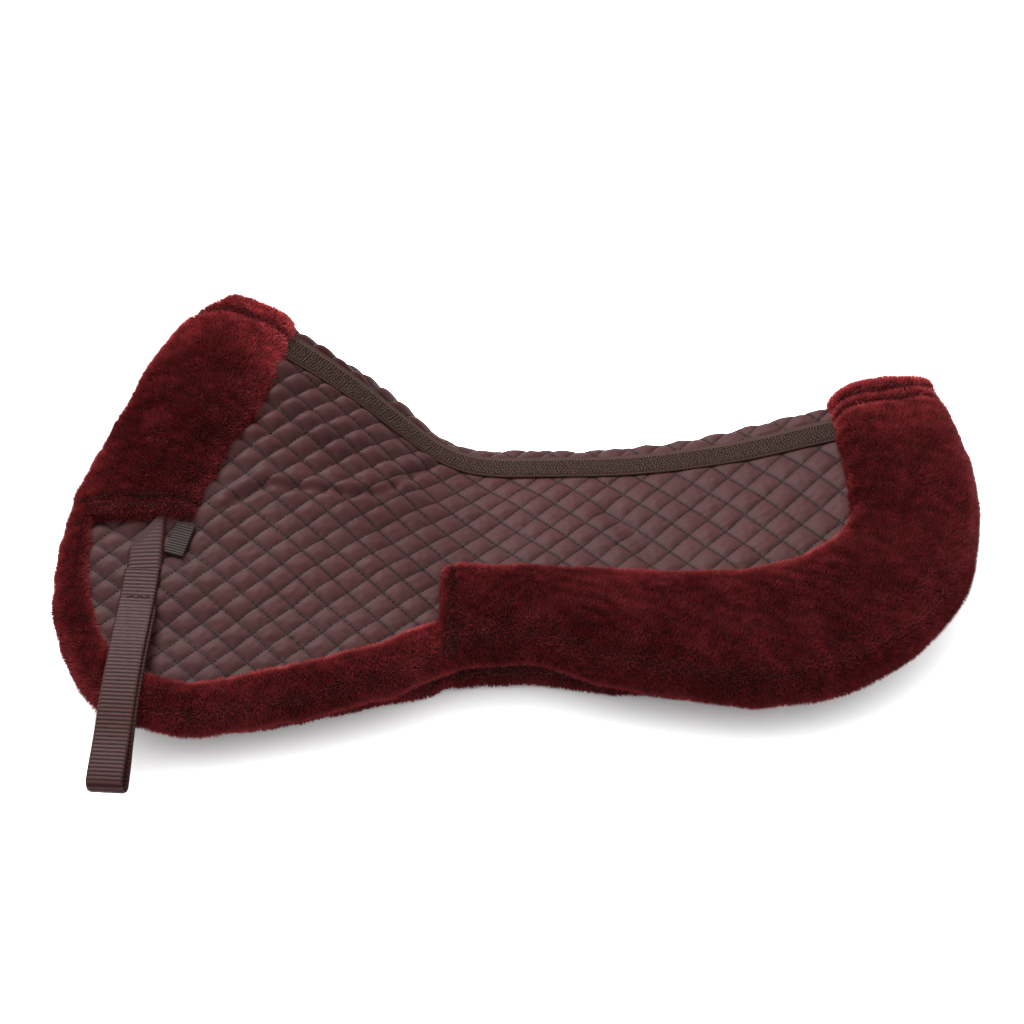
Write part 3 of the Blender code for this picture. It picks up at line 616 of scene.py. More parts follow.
def stitching():
    """Laid thread: a bead of it, longer than thick, at even steps along each seam."""
    tree, start, end = geometry_tree("laid_stitches", {
        "Pitch": "Float", "Stitch Length": "Float", "Thread": "Float", "Material": "Material"})
    given = start.outputs
    curve = add_node(tree, "GeometryNodeMeshToCurve", {"Mesh": given["Geometry"]})
    spots = add_node(tree, "GeometryNodeResampleCurve",
                     {"Curve": curve.outputs[0], "Length": given["Pitch"]}, mode="LENGTH")
    bead = add_node(tree, "GeometryNodeMeshUVSphere", {"Segments": 5, "Rings": 3, "Radius": 0.5})
    size = add_node(tree, "ShaderNodeCombineXYZ", {
        "X": given["Thread"], "Y": given["Thread"], "Z": given["Stitch Length"]})
    along = add_node(tree, "GeometryNodeInputTangent")
    turn = add_node(tree, "FunctionNodeAlignRotationToVector",
                    {"Vector": along.outputs[0]}, axis="Z")
    laid = add_node(tree, "GeometryNodeInstanceOnPoints", {
        "Points": spots.outputs[0], "Instance": bead.outputs[0], "Rotation": turn.outputs[0],
        "Scale": size.outputs[0]})
    solid = add_node(tree, "GeometryNodeRealizeInstances", {"Geometry": laid.outputs[0]})
    smooth = add_node(tree, "GeometryNodeSetShadeSmooth", {"Geometry": solid.outputs[0]})
    dyed = add_node(tree, "GeometryNodeSetMaterial",
                    {"Geometry": smooth.outputs[0], "Material": given["Material"]})
    tree.links.new(dyed.outputs[0], end.inputs["Geometry"])
    return tree


def thread_piece(name, runs, tree, material, pitch=STITCH_PITCH, stitch=STITCH, thread=THREAD):
    """Stitches along runs of points."""
    places, edges = [], []
    for run in runs:
        edges += [(len(places) + k, len(places) + k + 1) for k in range(len(run) - 1)]
        places += [tuple(point) for point in to_row(run)]
    mesh = bpy.data.meshes.new(name)
    mesh.from_pydata(places, edges, [])
    item = bpy.data.objects.new(name, mesh)
    scene.collection.objects.link(item)
    grow(item, tree, {"Pitch": pitch * MM, "Stitch Length": stitch * MM, "Thread": thread * MM,
                      "Material": material})
    return item


def quilting_cotton():
    """Fine dyed cotton: matte, slightly faded and slubbed, with painted shade in the puckers beside
    the thread, and a faint twill."""
    material, tree = new_material("quilting_cotton")
    place = add_node(tree, "ShaderNodeTexCoord").outputs["Object"]
    wear = add_node(tree, "ShaderNodeTexNoise", {"Vector": place, "Scale": FADES, "Detail": 3.0})
    tint = add_node(tree, "ShaderNodeMix", {"Factor": wear.outputs[0], 6: linear("#220f0f"),
                                            7: linear("#2e1515")}, data_type="RGBA")
    slub = add_node(tree, "ShaderNodeTexNoise", {"Vector": place, "Scale": SLUBS, "Detail": 2.0})
    fleck = add_node(tree, "ShaderNodeMix", {"Factor": 0.16, 6: tint.outputs[2],
                                             7: slub.outputs["Color"]},
                     data_type="RGBA", blend_type="SOFT_LIGHT")
    # Painted shade: the cloth darkens to near black in the puckers beside the thread.
    painted_pucker_shade = add_node(tree, "ShaderNodeAttribute", attribute_name="tip").outputs["Fac"]
    deep = add_node(tree, "ShaderNodeMix", {"Factor": painted_pucker_shade, 6: linear("#120606"),
                                            7: fleck.outputs[2]}, data_type="RGBA")
    twill = add_node(tree, "ShaderNodeTexWave", {
        "Vector": place, "Scale": TWILL, "Distortion": 1.5, "Detail": 2.0},
        bands_direction="DIAGONAL")
    ridges = add_node(tree, "ShaderNodeBump", {"Height": twill.outputs["Fac"], "Strength": 0.12,
                                               "Distance": 0.1 * MM})
    return finished(material, {
        "Base Color": deep.outputs[2], "Roughness": 0.6, "IOR": 1.5, "Specular IOR Level": 0.06,
        "Normal": ridges.outputs[0]})


def polyester_thread():
    """Twisted thread, darker than the cloth, with painted pale glints where light would catch it."""
    material, tree = new_material("polyester_thread")
    place = add_node(tree, "ShaderNodeTexCoord").outputs["Object"]
    # Painted highlights: pale glints put into the thread's colour.
    glint = add_node(tree, "ShaderNodeTexNoise", {"Vector": place, "Scale": GLINTS})
    tint = add_node(tree, "ShaderNodeValToRGB", {"Fac": glint.outputs[0]})
    stops = tint.color_ramp.elements
    stops[0].position, stops[0].color = 0.66, linear("#170504")
    stops[1].position, stops[1].color = 0.8, linear("#5c2c27")
    return finished(material, {"Base Color": tint.outputs[0], "Roughness": 0.55, "IOR": 1.54,
                               "Specular IOR Level": 0.06})


cotton, thread = quilting_cotton(), polyester_thread()
lay_stitches = stitching()
for side, seed, step in (("left", 11, CLOTH_STEP), ("right", 31, 1.4 * CLOTH_STEP)):
    cover = quilted_cover(side, seed, step)
    cover.data.materials.append(cotton)
    bend_with_fold(cover)
    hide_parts(side + "_quilted_cover", side + "_wadding")
    seams = thread_piece(side + "_quilting_stitches", stitch_lines(side, seed), lay_stitches,
                         thread)
    bend_with_fold(seams)
    if side == "left":
        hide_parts("spine_cover")

# Plush
# Synthetic fur in dark burgundy, whose dense pile stands 3 to 5 mm. One cut of it lines each
# flap, and three narrower ones wrap the edge: a padded patch over the withers, a binding, and a
# stuffed roll.
PILE_SHOWS = 2.5
PLUSH_STEP, FOLD_STATIONS = 2.4, 11
WALL_START, UNDER_REACH, UNDER_TUCK = 2.0, 26.0, 4.0
UNDER_LEVEL, MIDDLE_LEVEL = -STACK + 2.0, -6.5
END_ROUND = 11.0
LUMPS = ((0.45, 30.0), (0.25, 11.0))
LINING_SPAN, LINING_STEP = (-330.0, 348.0), 4.0
LINING_INSET, LINING_DEPTH = 22.0, 396.0
LINING_LEVEL, LINING_PILE = -STACK + 2.2, (0.24, 4.6, 2.2)
GROUND = 0.3
# Painted light on the pile: faces turned back and up, towards the lamp, and the parts near the spine
# are painted brighter; faces turned to the front get painted shade.
PAINTED_LIGHT_FROM = np.array((-0.4, 0.75, 0.53))
PAINTED_LIGHT_BY_STRIP = {"withers": (0.0, 0.95), "binding": (0.12, 0.0), "roll": (-0.14, 0.7)}
FACING_LIGHT, RIDGE_WIDTH, UNEVEN_LIGHT = 0.55, 42.0, (0.06, 70.0)
# Tufts to the square millimetre, and their length and width
PILE = {"left": (1.87, 4.4, 0.86), "right": (0.58, 3.4, 1.4)}
TUFT_SIZES, LEAN, ASTRAY, BACKING_TIP = (0.65, 1.12), 0.9, 0.32, 0.12
PLUSH_SHEEN = "#c04a48"
# Patterns in repeats to the metre: the pile leans in drifts 21 mm across, and its colour drifts
# over 45 mm, with clumps 8 mm and painted glints on the tips 0.9 mm apart
LEAN_DRIFTS, DRIFTS, CLUMPS, TIP_GLINTS = 48.0, 22.0, 130.0, 1100.0
HEM_LIP, SEAM_GROOVE, SEAM_SPREAD = 10.0, 4.2, 2.6
WITHERS_SEAM, CANTLE_SEAMS = (-13.0,), (-20.0, -8.0)
PATCH_RISE, BINDING_RISE, ROLL_RISE = 12.0, 9.0, 20.0
CROWNED = ((0, 0.06, 0.12, 0.25, 0.4, 0.55, 0.7, 0.86, 0.92, 0.975, 1.0),
           (0.82, 0.88, 0.93, 0.98, 1.0, 0.99, 0.97, 0.85, 0.72, 0.5, 0.0))
ROUNDED = ((0, 0.34, 0.72, 0.94, 1.0), (0.94, 1.0, 0.8, 0.45, 0.0))
PRESSED = ((0, 0.9, 1.0), (1.0, 1.0, 0.6))


def fur_tuft(tree, given):
    """One tuft: a three-sided cone, marked from nought at its root to 1 at its point."""
    half_width = add_node(tree, "ShaderNodeMath", {0: given["Tuft Width"], 1: 0.5},
                          operation="MULTIPLY")
    tuft = add_node(tree, "GeometryNodeMeshCone", {
        "Vertices": 3, "Radius Top": 0.0, "Radius Bottom": half_width.outputs[0],
        "Depth": given["Pile Length"]}, fill_type="NONE")
    place = add_node(tree, "GeometryNodeInputPosition")
    spread = add_node(tree, "ShaderNodeSeparateXYZ", {0: place.outputs[0]})
    up = add_node(tree, "ShaderNodeMath", {0: spread.outputs[2], 1: given["Pile Length"]},
                  operation="DIVIDE")
    marked = add_node(tree, "GeometryNodeStoreNamedAttribute", {
        "Geometry": tuft.outputs[0], "Name": "tip", "Value": up.outputs[0]}, data_type="FLOAT")
    return marked.outputs[0]


def tuft_headings(tree, given, normal):
    """Which way the tufts point: off the skin, leaning in drifts, and each a little astray."""
    place = add_node(tree, "GeometryNodeInputPosition")
    drift = add_node(tree, "ShaderNodeTexNoise", {"Vector": place.outputs[0],
                                                  "Scale": LEAN_DRIFTS, "Detail": 1.5})
    centred = add_node(tree, "ShaderNodeVectorMath", {
        0: drift.outputs["Color"], 1: (0.5, 0.5, 0.5)}, operation="SUBTRACT")
    leaning = add_node(tree, "ShaderNodeVectorMath", {0: centred.outputs[0], 3: given["Lean"]},
                       operation="SCALE")
    stray = add_node(tree, "FunctionNodeRandomValue", {
        0: (-ASTRAY,) * 3, 1: (ASTRAY,) * 3, "Seed": given["Seed"]}, data_type="FLOAT_VECTOR")
    upright = add_node(tree, "ShaderNodeVectorMath", {0: normal, 1: leaning.outputs[0]},
                       operation="ADD")
    heading = add_node(tree, "ShaderNodeVectorMath", {
        0: upright.outputs[0], 1: stray.outputs[0]}, operation="ADD")
    turn = add_node(tree, "FunctionNodeAlignRotationToVector", {"Vector": heading.outputs[0]},
                    axis="Z")
    return turn.outputs[0]


def pile_growing():
    """Pile: tapering tufts that lean in drifts, scattered over a skin and kept with it."""
    tree, start, end = geometry_tree("plush_pile", {
        "Density": "Float", "Pile Length": "Float", "Tuft Width": "Float", "Lean": "Float",
        "Seed": "Int", "Material": "Material"})
    given = start.outputs
    bare = add_node(tree, "GeometryNodeInputNamedAttribute", {"Name": "pile"},
                    data_type="FLOAT")
    amount = add_node(tree, "ShaderNodeMath", {0: given["Density"], 1: bare.outputs[0]},
                      operation="MULTIPLY")
    spots = add_node(tree, "GeometryNodeDistributePointsOnFaces", {
        "Mesh": given["Geometry"], "Density": amount.outputs[0], "Seed": given["Seed"]},
        distribute_method="RANDOM")
    size = add_node(tree, "FunctionNodeRandomValue", {
        2: TUFT_SIZES[0], 3: TUFT_SIZES[1], "Seed": given["Seed"]}, data_type="FLOAT")
    planted = add_node(tree, "GeometryNodeInstanceOnPoints", {
        "Points": spots.outputs[0], "Instance": fur_tuft(tree, given),
        "Rotation": tuft_headings(tree, given, spots.outputs["Normal"]),
        "Scale": size.outputs[1]})
    pile = add_node(tree, "GeometryNodeRealizeInstances", {"Geometry": planted.outputs[0]})
    skin = add_node(tree, "GeometryNodeStoreNamedAttribute", {
        "Geometry": given["Geometry"], "Name": "tip", "Value": BACKING_TIP}, data_type="FLOAT")
    both = add_node(tree, "GeometryNodeJoinGeometry")
    tree.links.new(pile.outputs[0], both.inputs[0])
    tree.links.new(skin.outputs[0], both.inputs[0])
    dyed = add_node(tree, "GeometryNodeSetMaterial",
                    {"Geometry": both.outputs[0], "Material": given["Material"]})
    tree.links.new(dyed.outputs[0], end.inputs["Geometry"])
    return tree


def burgundy_fur():
    """Polyester fur, very matte: warm red tips with painted light, and painted shade near black deep
    between the tufts.
    """
    material, tree = new_material("burgundy_polyester_fur")
    place = add_node(tree, "ShaderNodeTexCoord").outputs["Object"]
    tip = add_node(tree, "ShaderNodeAttribute", attribute_name="tip").outputs["Fac"]
    clump = add_node(tree, "ShaderNodeTexNoise", {"Vector": place, "Scale": CLUMPS, "Detail": 6.0})
    painted_groove_shade = add_node(tree, "ShaderNodeAttribute", attribute_name="pile").outputs["Fac"]
    drift = add_node(tree, "ShaderNodeTexNoise", {"Vector": place, "Scale": DRIFTS, "Detail": 2.0})
    painted_light = add_node(tree, "ShaderNodeAttribute", attribute_name="painted_light").outputs["Fac"]
    # Painted highlights: scattered pale glints on the tufts' tips.
    stray = add_node(tree, "ShaderNodeTexNoise", {"Vector": place, "Scale": TIP_GLINTS})
    lighter = add_node(tree, "ShaderNodeMapRange", {0: stray.outputs[0], 1: 0.6, 2: 0.72,
                                                    3: 0.0, 4: 0.6})
    # Painted light: the pile's painted light mark, with random drifts of tone, picks between shaded
    # and lit tip colours.
    uneven = add_node(tree, "ShaderNodeMath", {0: drift.outputs[0], 1: 0.3, 2: painted_light},
                      operation="MULTIPLY_ADD")
    light_and_glints = add_node(tree, "ShaderNodeMath", {0: uneven.outputs[0], 1: lighter.outputs[0]})
    tips = add_node(tree, "ShaderNodeMix", {"Factor": light_and_glints.outputs[0], 6: linear("#50090c"),
                                            7: linear("#bf464a")}, data_type="RGBA")
    # Painted shade deep in the pile: the colour darkens from each tuft's tip to a near black root,
    # more in random clumps; the bare skin takes this root shade too.
    depth = add_node(tree, "ShaderNodeMath", {0: clump.outputs[0], 1: 1.3, 2: 0.05},
                     operation="MULTIPLY_ADD")
    lit = add_node(tree, "ShaderNodeMath", {0: tip, 1: depth.outputs[0]},
                   operation="MULTIPLY")
    # Painted shade in the seam grooves: where the pile mark is low, the fur is painted dark.
    share = add_node(tree, "ShaderNodeMath", {0: lit.outputs[0], 1: painted_groove_shade},
                     operation="MULTIPLY")
    tint = add_node(tree, "ShaderNodeMix", {"Factor": share.outputs[0], 6: linear("#1c0404"),
                                            7: tips.outputs[2]}, data_type="RGBA")
    return finished(material, {
        "Base Color": tint.outputs[2], "Roughness": 0.7, "IOR": 1.5, "Specular IOR Level": 0.1,
        "Sheen Weight": 0.04, "Sheen Roughness": 0.4, "Sheen Tint": linear(PLUSH_SHEEN)})


def strip_stations(side, fold_at, edge, inner, count):
    """Points of a plush strip's two sides, and its way inwards at each. The end of it that is
    named by fold_at, 0 or -1, runs on over the fold."""
    edge, inner = evenly(edge, count), evenly(inner, count)
    inwards = inwards_of(edge)
    toward = inner - edge
    toward /= np.linalg.norm(toward, axis=1, keepdims=True)
    blend = np.zeros(count)
    reach = max(count // 6, 2)
    fade = 1 - smooth_step(np.arange(reach) / reach)
    blend[:reach], blend[-reach:] = fade, np.maximum(blend[-reach:], fade[::-1])
    inwards = inwards + (toward - inwards) * blend[:, None]
    inwards /= np.linalg.norm(inwards, axis=1, keepdims=True)
    lines = (edge, inner, inwards)
    if fold_at is None:
        return lines
    over = np.arange(1, FOLD_STATIONS + 1) / FOLD_STATIONS
    beyond = [line[fold_at] + np.outer(over * fold_limit(side, line[fold_at][0]), (0, 1))
              for line in (edge, inner)]
    beyond.append(np.repeat(inwards[fold_at][None, :], FOLD_STATIONS, axis=0))
    if fold_at == 0:
        return [np.vstack([more[::-1], line]) for more, line in zip(beyond, lines)]
    return [np.vstack([line, more]) for more, line in zip(beyond, lines)]


def paint_pile_light(item, least, ridge, seed):
    """Painted light on the pile: brighter where the skin faces back and up, towards the lamp, as on
    rims and towards the spine, and painted shade on the sides that face the front."""
    normals = np.empty(len(item.data.vertices) * 3)
    item.data.vertex_normals.foreach_get("vector", normals)
    facing = np.clip(normals.reshape(-1, 3) @ PAINTED_LIGHT_FROM, 0.0, 1.0)
    spots = places_mm(item) + PAD_CENTRE
    near = np.exp(-(((spots[:, 1] - spine_y(spots[:, 0])) / RIDGE_WIDTH) ** 2))
    uneven = UNEVEN_LIGHT[0] * waves(spots, UNEVEN_LIGHT[1], seed)
    painted_light = least + FACING_LIGHT * facing**2 + ridge * near + uneven
    mark(item, "painted_light", np.clip(painted_light, 0.0, 1.0))


def strip_wall(rise, top):
    """Section of a plush strip's wall, from under the flap and round the edge to the crown:
    distances in from the edge, and heights."""
    top_level = rise * top[1][0] - PILE_SHOWS
    turn = np.radians(np.linspace(-90, 90, 13))
    under = np.linspace(UNDER_REACH, EDGE_WALL, 7)[:-1]
    climb = np.where(turn < 0, MIDDLE_LEVEL - UNDER_LEVEL, top_level - MIDDLE_LEVEL)
    distance = np.concatenate([under,
                               WALL_START + (EDGE_WALL - WALL_START) * (1 - np.cos(turn))])
    height = np.concatenate([[UNDER_LEVEL + UNDER_TUCK], np.full(len(under) - 1, UNDER_LEVEL),
                             MIDDLE_LEVEL + climb * np.sin(turn)])
    return distance, height


def seam_grooves(x, y, left, seams):
    """How far the pile is drawn down, from nought to 1, at a strip's seams and by its hem."""
    groove = sum(np.exp(-(((y - spine_y(x) - seam) / SEAM_SPREAD) ** 2)) for seam in seams)
    return groove + (np.exp(-(((left - HEM_LIP) / SEAM_SPREAD) ** 2)) * bool(seams))[:, None]


def plush_skin(name, side, stations, rise, top, round_end, seams, seed):
    """Backing of one plush strip: from under the flap, round its edge and over to its seam."""
    edge, inner, inwards = stations
    if side == "right":
        rise, top = PRESSED_RISE, PRESSED
    distance, height = strip_wall(rise, top)
    across = int(np.linalg.norm(inner - edge, axis=1).mean() / PLUSH_STEP)
    share = np.linspace(0.0, 1.0, across + 1)[1:]
    crown = np.interp(share, *top) * rise - PILE_SHOWS
    run = run_along(edge)
    left = run if round_end == "first" else run[-1] - run
    fill = np.ones(len(edge))
    if round_end:
        fill = np.sqrt(np.clip(1 - (1 - np.clip(left / END_ROUND, 0, 1)) ** 2, 0, 1))
    start = edge + inwards * (EDGE_WALL + 1.0)
    plan = [edge + inwards * d for d in distance]
    plan += [start + (inner - start) * s for s in share]
    plan = np.stack(plan, axis=1)
    heights = np.concatenate([height, crown])[None, :] * np.ones((len(edge), 1))
    above = heights > -1.0
    heights = np.where(above, (heights + 1.0) * fill[:, None] - 1.0, heights)
    x, y = plan[..., 0], plan[..., 1]
    groove = np.clip(seam_grooves(x, y, left, seams) * above, 0, 1)
    places = on_sheet(x, in_sheet(side, x, y), heights - SEAM_GROOVE * groove)
    # The pile mark thins the tufts in the grooves, and in the fur's colour it paints shade there.
    item = sheet_object(name, places, side == "left", pile=1 - 0.9 * groove)
    spots = places_mm(item)
    push_out(item, sum(size * waves(spots, length, seed + k)
                       for k, (size, length) in enumerate(LUMPS)))
    return item


def grow_pile(item, tree, density, length, width, seed):
    """Gives a skin its pile, and keeps the tufts above the ground."""
    grow(item, tree, {"Density": density * 1e6, "Pile Length": length * MM, "Lean": LEAN,
                      "Tuft Width": width * MM, "Seed": seed, "Material": fur})
    spots = places_mm(item) * MM
    spots[:, 2] = np.maximum(spots[:, 2], GROUND * MM)
    item.data.vertices.foreach_set("co", spots.ravel())
    item.data.update()


def flap_lining(side):
    """The plush against the horse: the whole inner face of a flap."""
    x = np.arange(*LINING_SPAN, LINING_STEP)
    rows = int(LINING_DEPTH / LINING_STEP)
    top = spine_y(x) + fold_limit(side, x)
    y = top[:, None] - LINING_DEPTH * (1 - np.linspace(0, 1, rows))[None, :]
    x = np.broadcast_to(x[:, None], y.shape)
    places = on_sheet(x, in_sheet(side, x, y), LINING_LEVEL)
    corners = edge_path + inwards_of(edge_path) * LINING_INSET
    first, last = corners[0], corners[-1]
    corners = np.vstack([[(first[0], FAR_BEHIND)], corners, [(last[0], FAR_BEHIND)]])
    keep = inside(np.stack([x[:-1, :-1], y[:-1, :-1]], -1), corners)
    return sheet_object(side + "_lining_fur", places, side != "left", keep, pile=1.0)


fur = burgundy_fur()
plush_pile = pile_growing()
for side, flap_seed in (("left", 100), ("right", 200)):
    shown = side == "left"
    runs = {
        "withers": (strip_stations(side, 0, patch_edge, patch_line, 90), PATCH_RISE,
                    CROWNED, "last", WITHERS_SEAM if shown else ()),
        "binding": (strip_stations(side, None, binding_edge,
                                   binding_edge + inwards_of(binding_edge) * binding_widths(),
                                   190), BINDING_RISE, ROUNDED, None, ()),
        "roll": (strip_stations(side, -1, roll_edge, roll_line, 230), ROLL_RISE,
                 CROWNED, "first", CANTLE_SEAMS if shown else ()),
    }
    replaced = {
        "withers": [side + "_front_patch", side + "_patch_wadding"],
        "binding": [side + "_edge_binding"],
        "roll": [side + "_rear_roll", side + "_roll_wadding"],
    }
    if shown:
        replaced["withers"].append("spine_front_plush")
        replaced["roll"].append("spine_rear_plush")
    for k, (name, (stations, rise, top, round_end, seams)) in enumerate(runs.items()):
        piece = plush_skin(side + "_" + name + "_fur", side, stations, rise, top, round_end,
                           seams, flap_seed + 10 * k)
        paint_pile_light(piece, *PAINTED_LIGHT_BY_STRIP[name], flap_seed + 20 + k)
        grow_pile(piece, plush_pile, *PILE[side], flap_seed + k)
        bend_with_fold(piece)
        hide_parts(*replaced[name])
    lining = flap_lining(side)
    paint_pile_light(lining, 0.0, 0.0, flap_seed + 30)
    grow_pile(lining, plush_pile, *LINING_PILE, flap_seed + 9)
    bend_with_fold(lining)
    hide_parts(side + "_plush_lining", *(["spine_wadding"] if shown else []))

# Spine tape
# A woven tape, 25 mm wide, sewn flat over the seam of the two flaps. Its middle is a pebbled
# loop weave, and its two borders are smooth. A line of stitches holds each border.
TAPE_ENDS = (-171.0, 250.0)
TAPE_STEP, TAPE_RUNS, CLIMB_SHARE = 0.62, 49, 0.9
TAPE_FLOOR, TAPE_RISE, PEBBLE_RISE = 0.2, 1.4, 1.3
PEBBLE, PEBBLE_SHIFT, PEBBLE_SHAPE = (2.2, 2.0), 0.12, 0.7
LOWER_BORDER, UPPER_BORDER, BORDER_FADE = 2.2, 4.6, 0.7
BORDER_PICK, SEWN_AT, SEWN_DENT, SEWN_WIDTH = 1.3, 1.9, 0.5, 0.5
TAPE_SEAMS = (1.9, TAPE_WIDTH - 1.4)
TAPE_STITCHES = (3.0, 2.4, 0.6)
YARNS = 700.0


def tape_weave():
    """Heights over the tape, and its pebbles, on a grid along and across it."""
    x = np.arange(*TAPE_ENDS, TAPE_STEP)
    along = np.cumsum(np.hypot(TAPE_STEP, np.gradient(spine_height(x)) * CLIMB_SHARE))
    along, across = np.meshgrid(along, np.linspace(0.0, TAPE_WIDTH, TAPE_RUNS), indexing="ij")
    row = np.floor(across / PEBBLE[1])
    shift = np.random.default_rng(5).uniform(-PEBBLE_SHIFT, PEBBLE_SHIFT, 32)[row.astype(int)]
    shift = shift + 0.5 * (row % 2)
    spot = np.stack([along, across], -1)
    loop = np.abs(np.cos(np.pi * (along / PEBBLE[0] + shift + 0.12 * waves(spot, 9.0, 51))))
    loop = (loop * np.abs(np.sin(np.pi * across / PEBBLE[1]))) ** PEBBLE_SHAPE
    loop = loop + 0.12 * waves(spot, 2.6, 52)
    looped = smooth_step((across - LOWER_BORDER) / BORDER_FADE)
    looped *= smooth_step((TAPE_WIDTH - UPPER_BORDER - across) / BORDER_FADE)
    rounded = np.clip(np.minimum(across, TAPE_WIDTH - across) / 0.9, 0, 1) ** 0.5
    border = 0.08 * np.cos(2 * np.pi * along / BORDER_PICK)
    border = border - SEWN_DENT * np.exp(-(((across - SEWN_AT) / SEWN_WIDTH) ** 2))
    height = TAPE_FLOOR + rounded * (TAPE_RISE - TAPE_FLOOR + PEBBLE_RISE * loop * looped
                                     + border * (1 - looped))
    # Painted shade: near black down between the loops; the smooth borders keep a middle tone of
    # their own.
    shade = smooth_step((loop - 0.5) / 0.45) * looped + 0.42 * (1 - looped)
    return np.broadcast_to(x[:, None], across.shape), across, height, shade


def tape_cotton():
    """Cotton and polyester loops in dark taupe, dull, with painted shade near black down between the
    loops.
    """
    material, tree = new_material("taupe_loop_weave")
    relief = add_node(tree, "ShaderNodeAttribute", attribute_name="tip").outputs["Fac"]
    place = add_node(tree, "ShaderNodeTexCoord").outputs["Object"]
    yarn = add_node(tree, "ShaderNodeTexNoise", {"Vector": place, "Scale": YARNS, "Detail": 2.0})
    tops = add_node(tree, "ShaderNodeMix", {"Factor": yarn.outputs[0], 6: linear("#2f201c"),
                                            7: linear("#493631")}, data_type="RGBA")
    # Painted shade between the loops, from the weave's shade mark.
    tint = add_node(tree, "ShaderNodeMix", {"Factor": relief, 6: linear("#070303"),
                                            7: tops.outputs[2]}, data_type="RGBA")
    return finished(material, {"Base Color": tint.outputs[2], "Roughness": 0.8, "IOR": 1.5,
                               "Specular IOR Level": 0.04})


def tape_run(offset):
    """A seam along the tape, at a distance from its lower edge."""
    x = np.arange(TAPE_ENDS[0] + 2, TAPE_ENDS[1] - 2, 1.0)
    return on_sheet(x, offset - TAPE_WIDTH - run_on(x), TAPE_RISE - 0.15)


x, across, height, shade = tape_weave()
places = on_sheet(x, across - TAPE_WIDTH - run_on(x), height)
tape = sheet_object("pebbled_spine_tape", places, True, tip=shade)
tape.data.materials.append(tape_cotton())
tape_seams = thread_piece("spine_tape_stitches", [tape_run(offset) for offset in TAPE_SEAMS],
                          lay_stitches, thread, *TAPE_STITCHES)
for piece in (tape, tape_seams):
    bend_with_fold(piece)
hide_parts("spine_tape")

# Girth straps
# Ribbed nylon webbing, 25 mm wide, doubled into a loop that a girth or billet passes through.
# The left one comes out from under the withers patch with its corner folded; the right one
# lies flat beneath the pad.
STRAP_WIDTH, WEBBING = 25.0, 1.6
RIB_PITCH, RIB_RISE, RIB_SHAPE, FILAMENTS = 3.0, 0.34, 0.7, 500.0
ROUTE_STEP, LOOP_LENGTH, HALF_GAP = 0.5, 42.0, 0.3
LEFT_MOUTH, RIGHT_MOUTH = 9.0, 1.6
STRAP_ROOT = (-261.5, -94.2)
STRAP_SLANT = 3.5
STRAP_ROUTE = [(0, 0), (22, -6), (44, -9.5), (64, -12), (84, -16), (104, -21.5), (124, -29),
               (165, -46)]
STRAP_STEP, STEP_HEIGHT, RUN_SKEW = 23.0, 0.7, 2.2
TAB_MIDDLE, TAB_SLANT, TAB_FOLD = -60.0, 16.0, 9.0
TACK_AT, TACK_STITCHES = (46, 49), (1.9, 1.5, 0.6)
LAID_ROOT, LAID_LENGTH, LAID_DEPTH = (-261.5, -95.0), 165.0, 3.0
LAID_TAB_HALF, LAID_START = 10.5, 14.7


def strap_line(route, mouth):
    """Middle line of doubled webbing, out and back, as distance from the root, height and
    place across, and which way its upper side looks. The lower run lies a little askew."""
    path = smooth_path(route)[0]
    path = evenly(path, int(run_along(path)[-1] / ROUTE_STEP))
    run = run_along(path)
    along = np.gradient(path, axis=0)
    along /= np.linalg.norm(along, axis=1, keepdims=True)
    normal = np.stack([-along[:, 1], along[:, 0]], -1)
    apart = smooth_step((run - (run[-1] - LOOP_LENGTH)) / LOOP_LENGTH)
    offset = HALF_GAP + (mouth / 2 - HALF_GAP) * apart + WEBBING / 2
    laid_in = STEP_HEIGHT * (1 - smooth_step((run - STRAP_STEP) / 0.8))
    upper = path + normal * (offset - laid_in)[:, None]
    lower = path - normal * offset[:, None]
    aside = RUN_SKEW * smooth_step((run - STRAP_STEP) / 12.0)
    radius = (mouth + WEBBING) / 2
    turn = np.linspace(0, np.pi, 24)[1:-1]
    arc = path[-1] + np.outer(np.cos(turn), normal[-1] * radius)
    arc += np.outer(np.sin(turn), along[-1] * radius * 0.9)
    out = np.outer(np.cos(turn), normal[-1]) + np.outer(np.sin(turn), along[-1])
    aside = np.concatenate([0 * run, RUN_SKEW * turn / np.pi, aside[::-1]])
    places = np.column_stack([np.vstack([upper, arc, lower[::-1]]), aside])
    return places, np.vstack([normal, out, -normal[::-1]])


def webbing_ribs(run):
    """The webbing's ribs at a distance along it: 1 on each of them and nought between."""
    return (0.5 + 0.5 * np.cos(2 * np.pi * run / RIB_PITCH)) ** RIB_SHAPE


def webbing_piece(name, places, outward, relief):
    """A piece of the straps' webbing; its relief sets the painted shade between its ribs."""
    item = sheet_object(name, places, outward, tip=relief)
    item.data.materials.append(nylon)
    return item


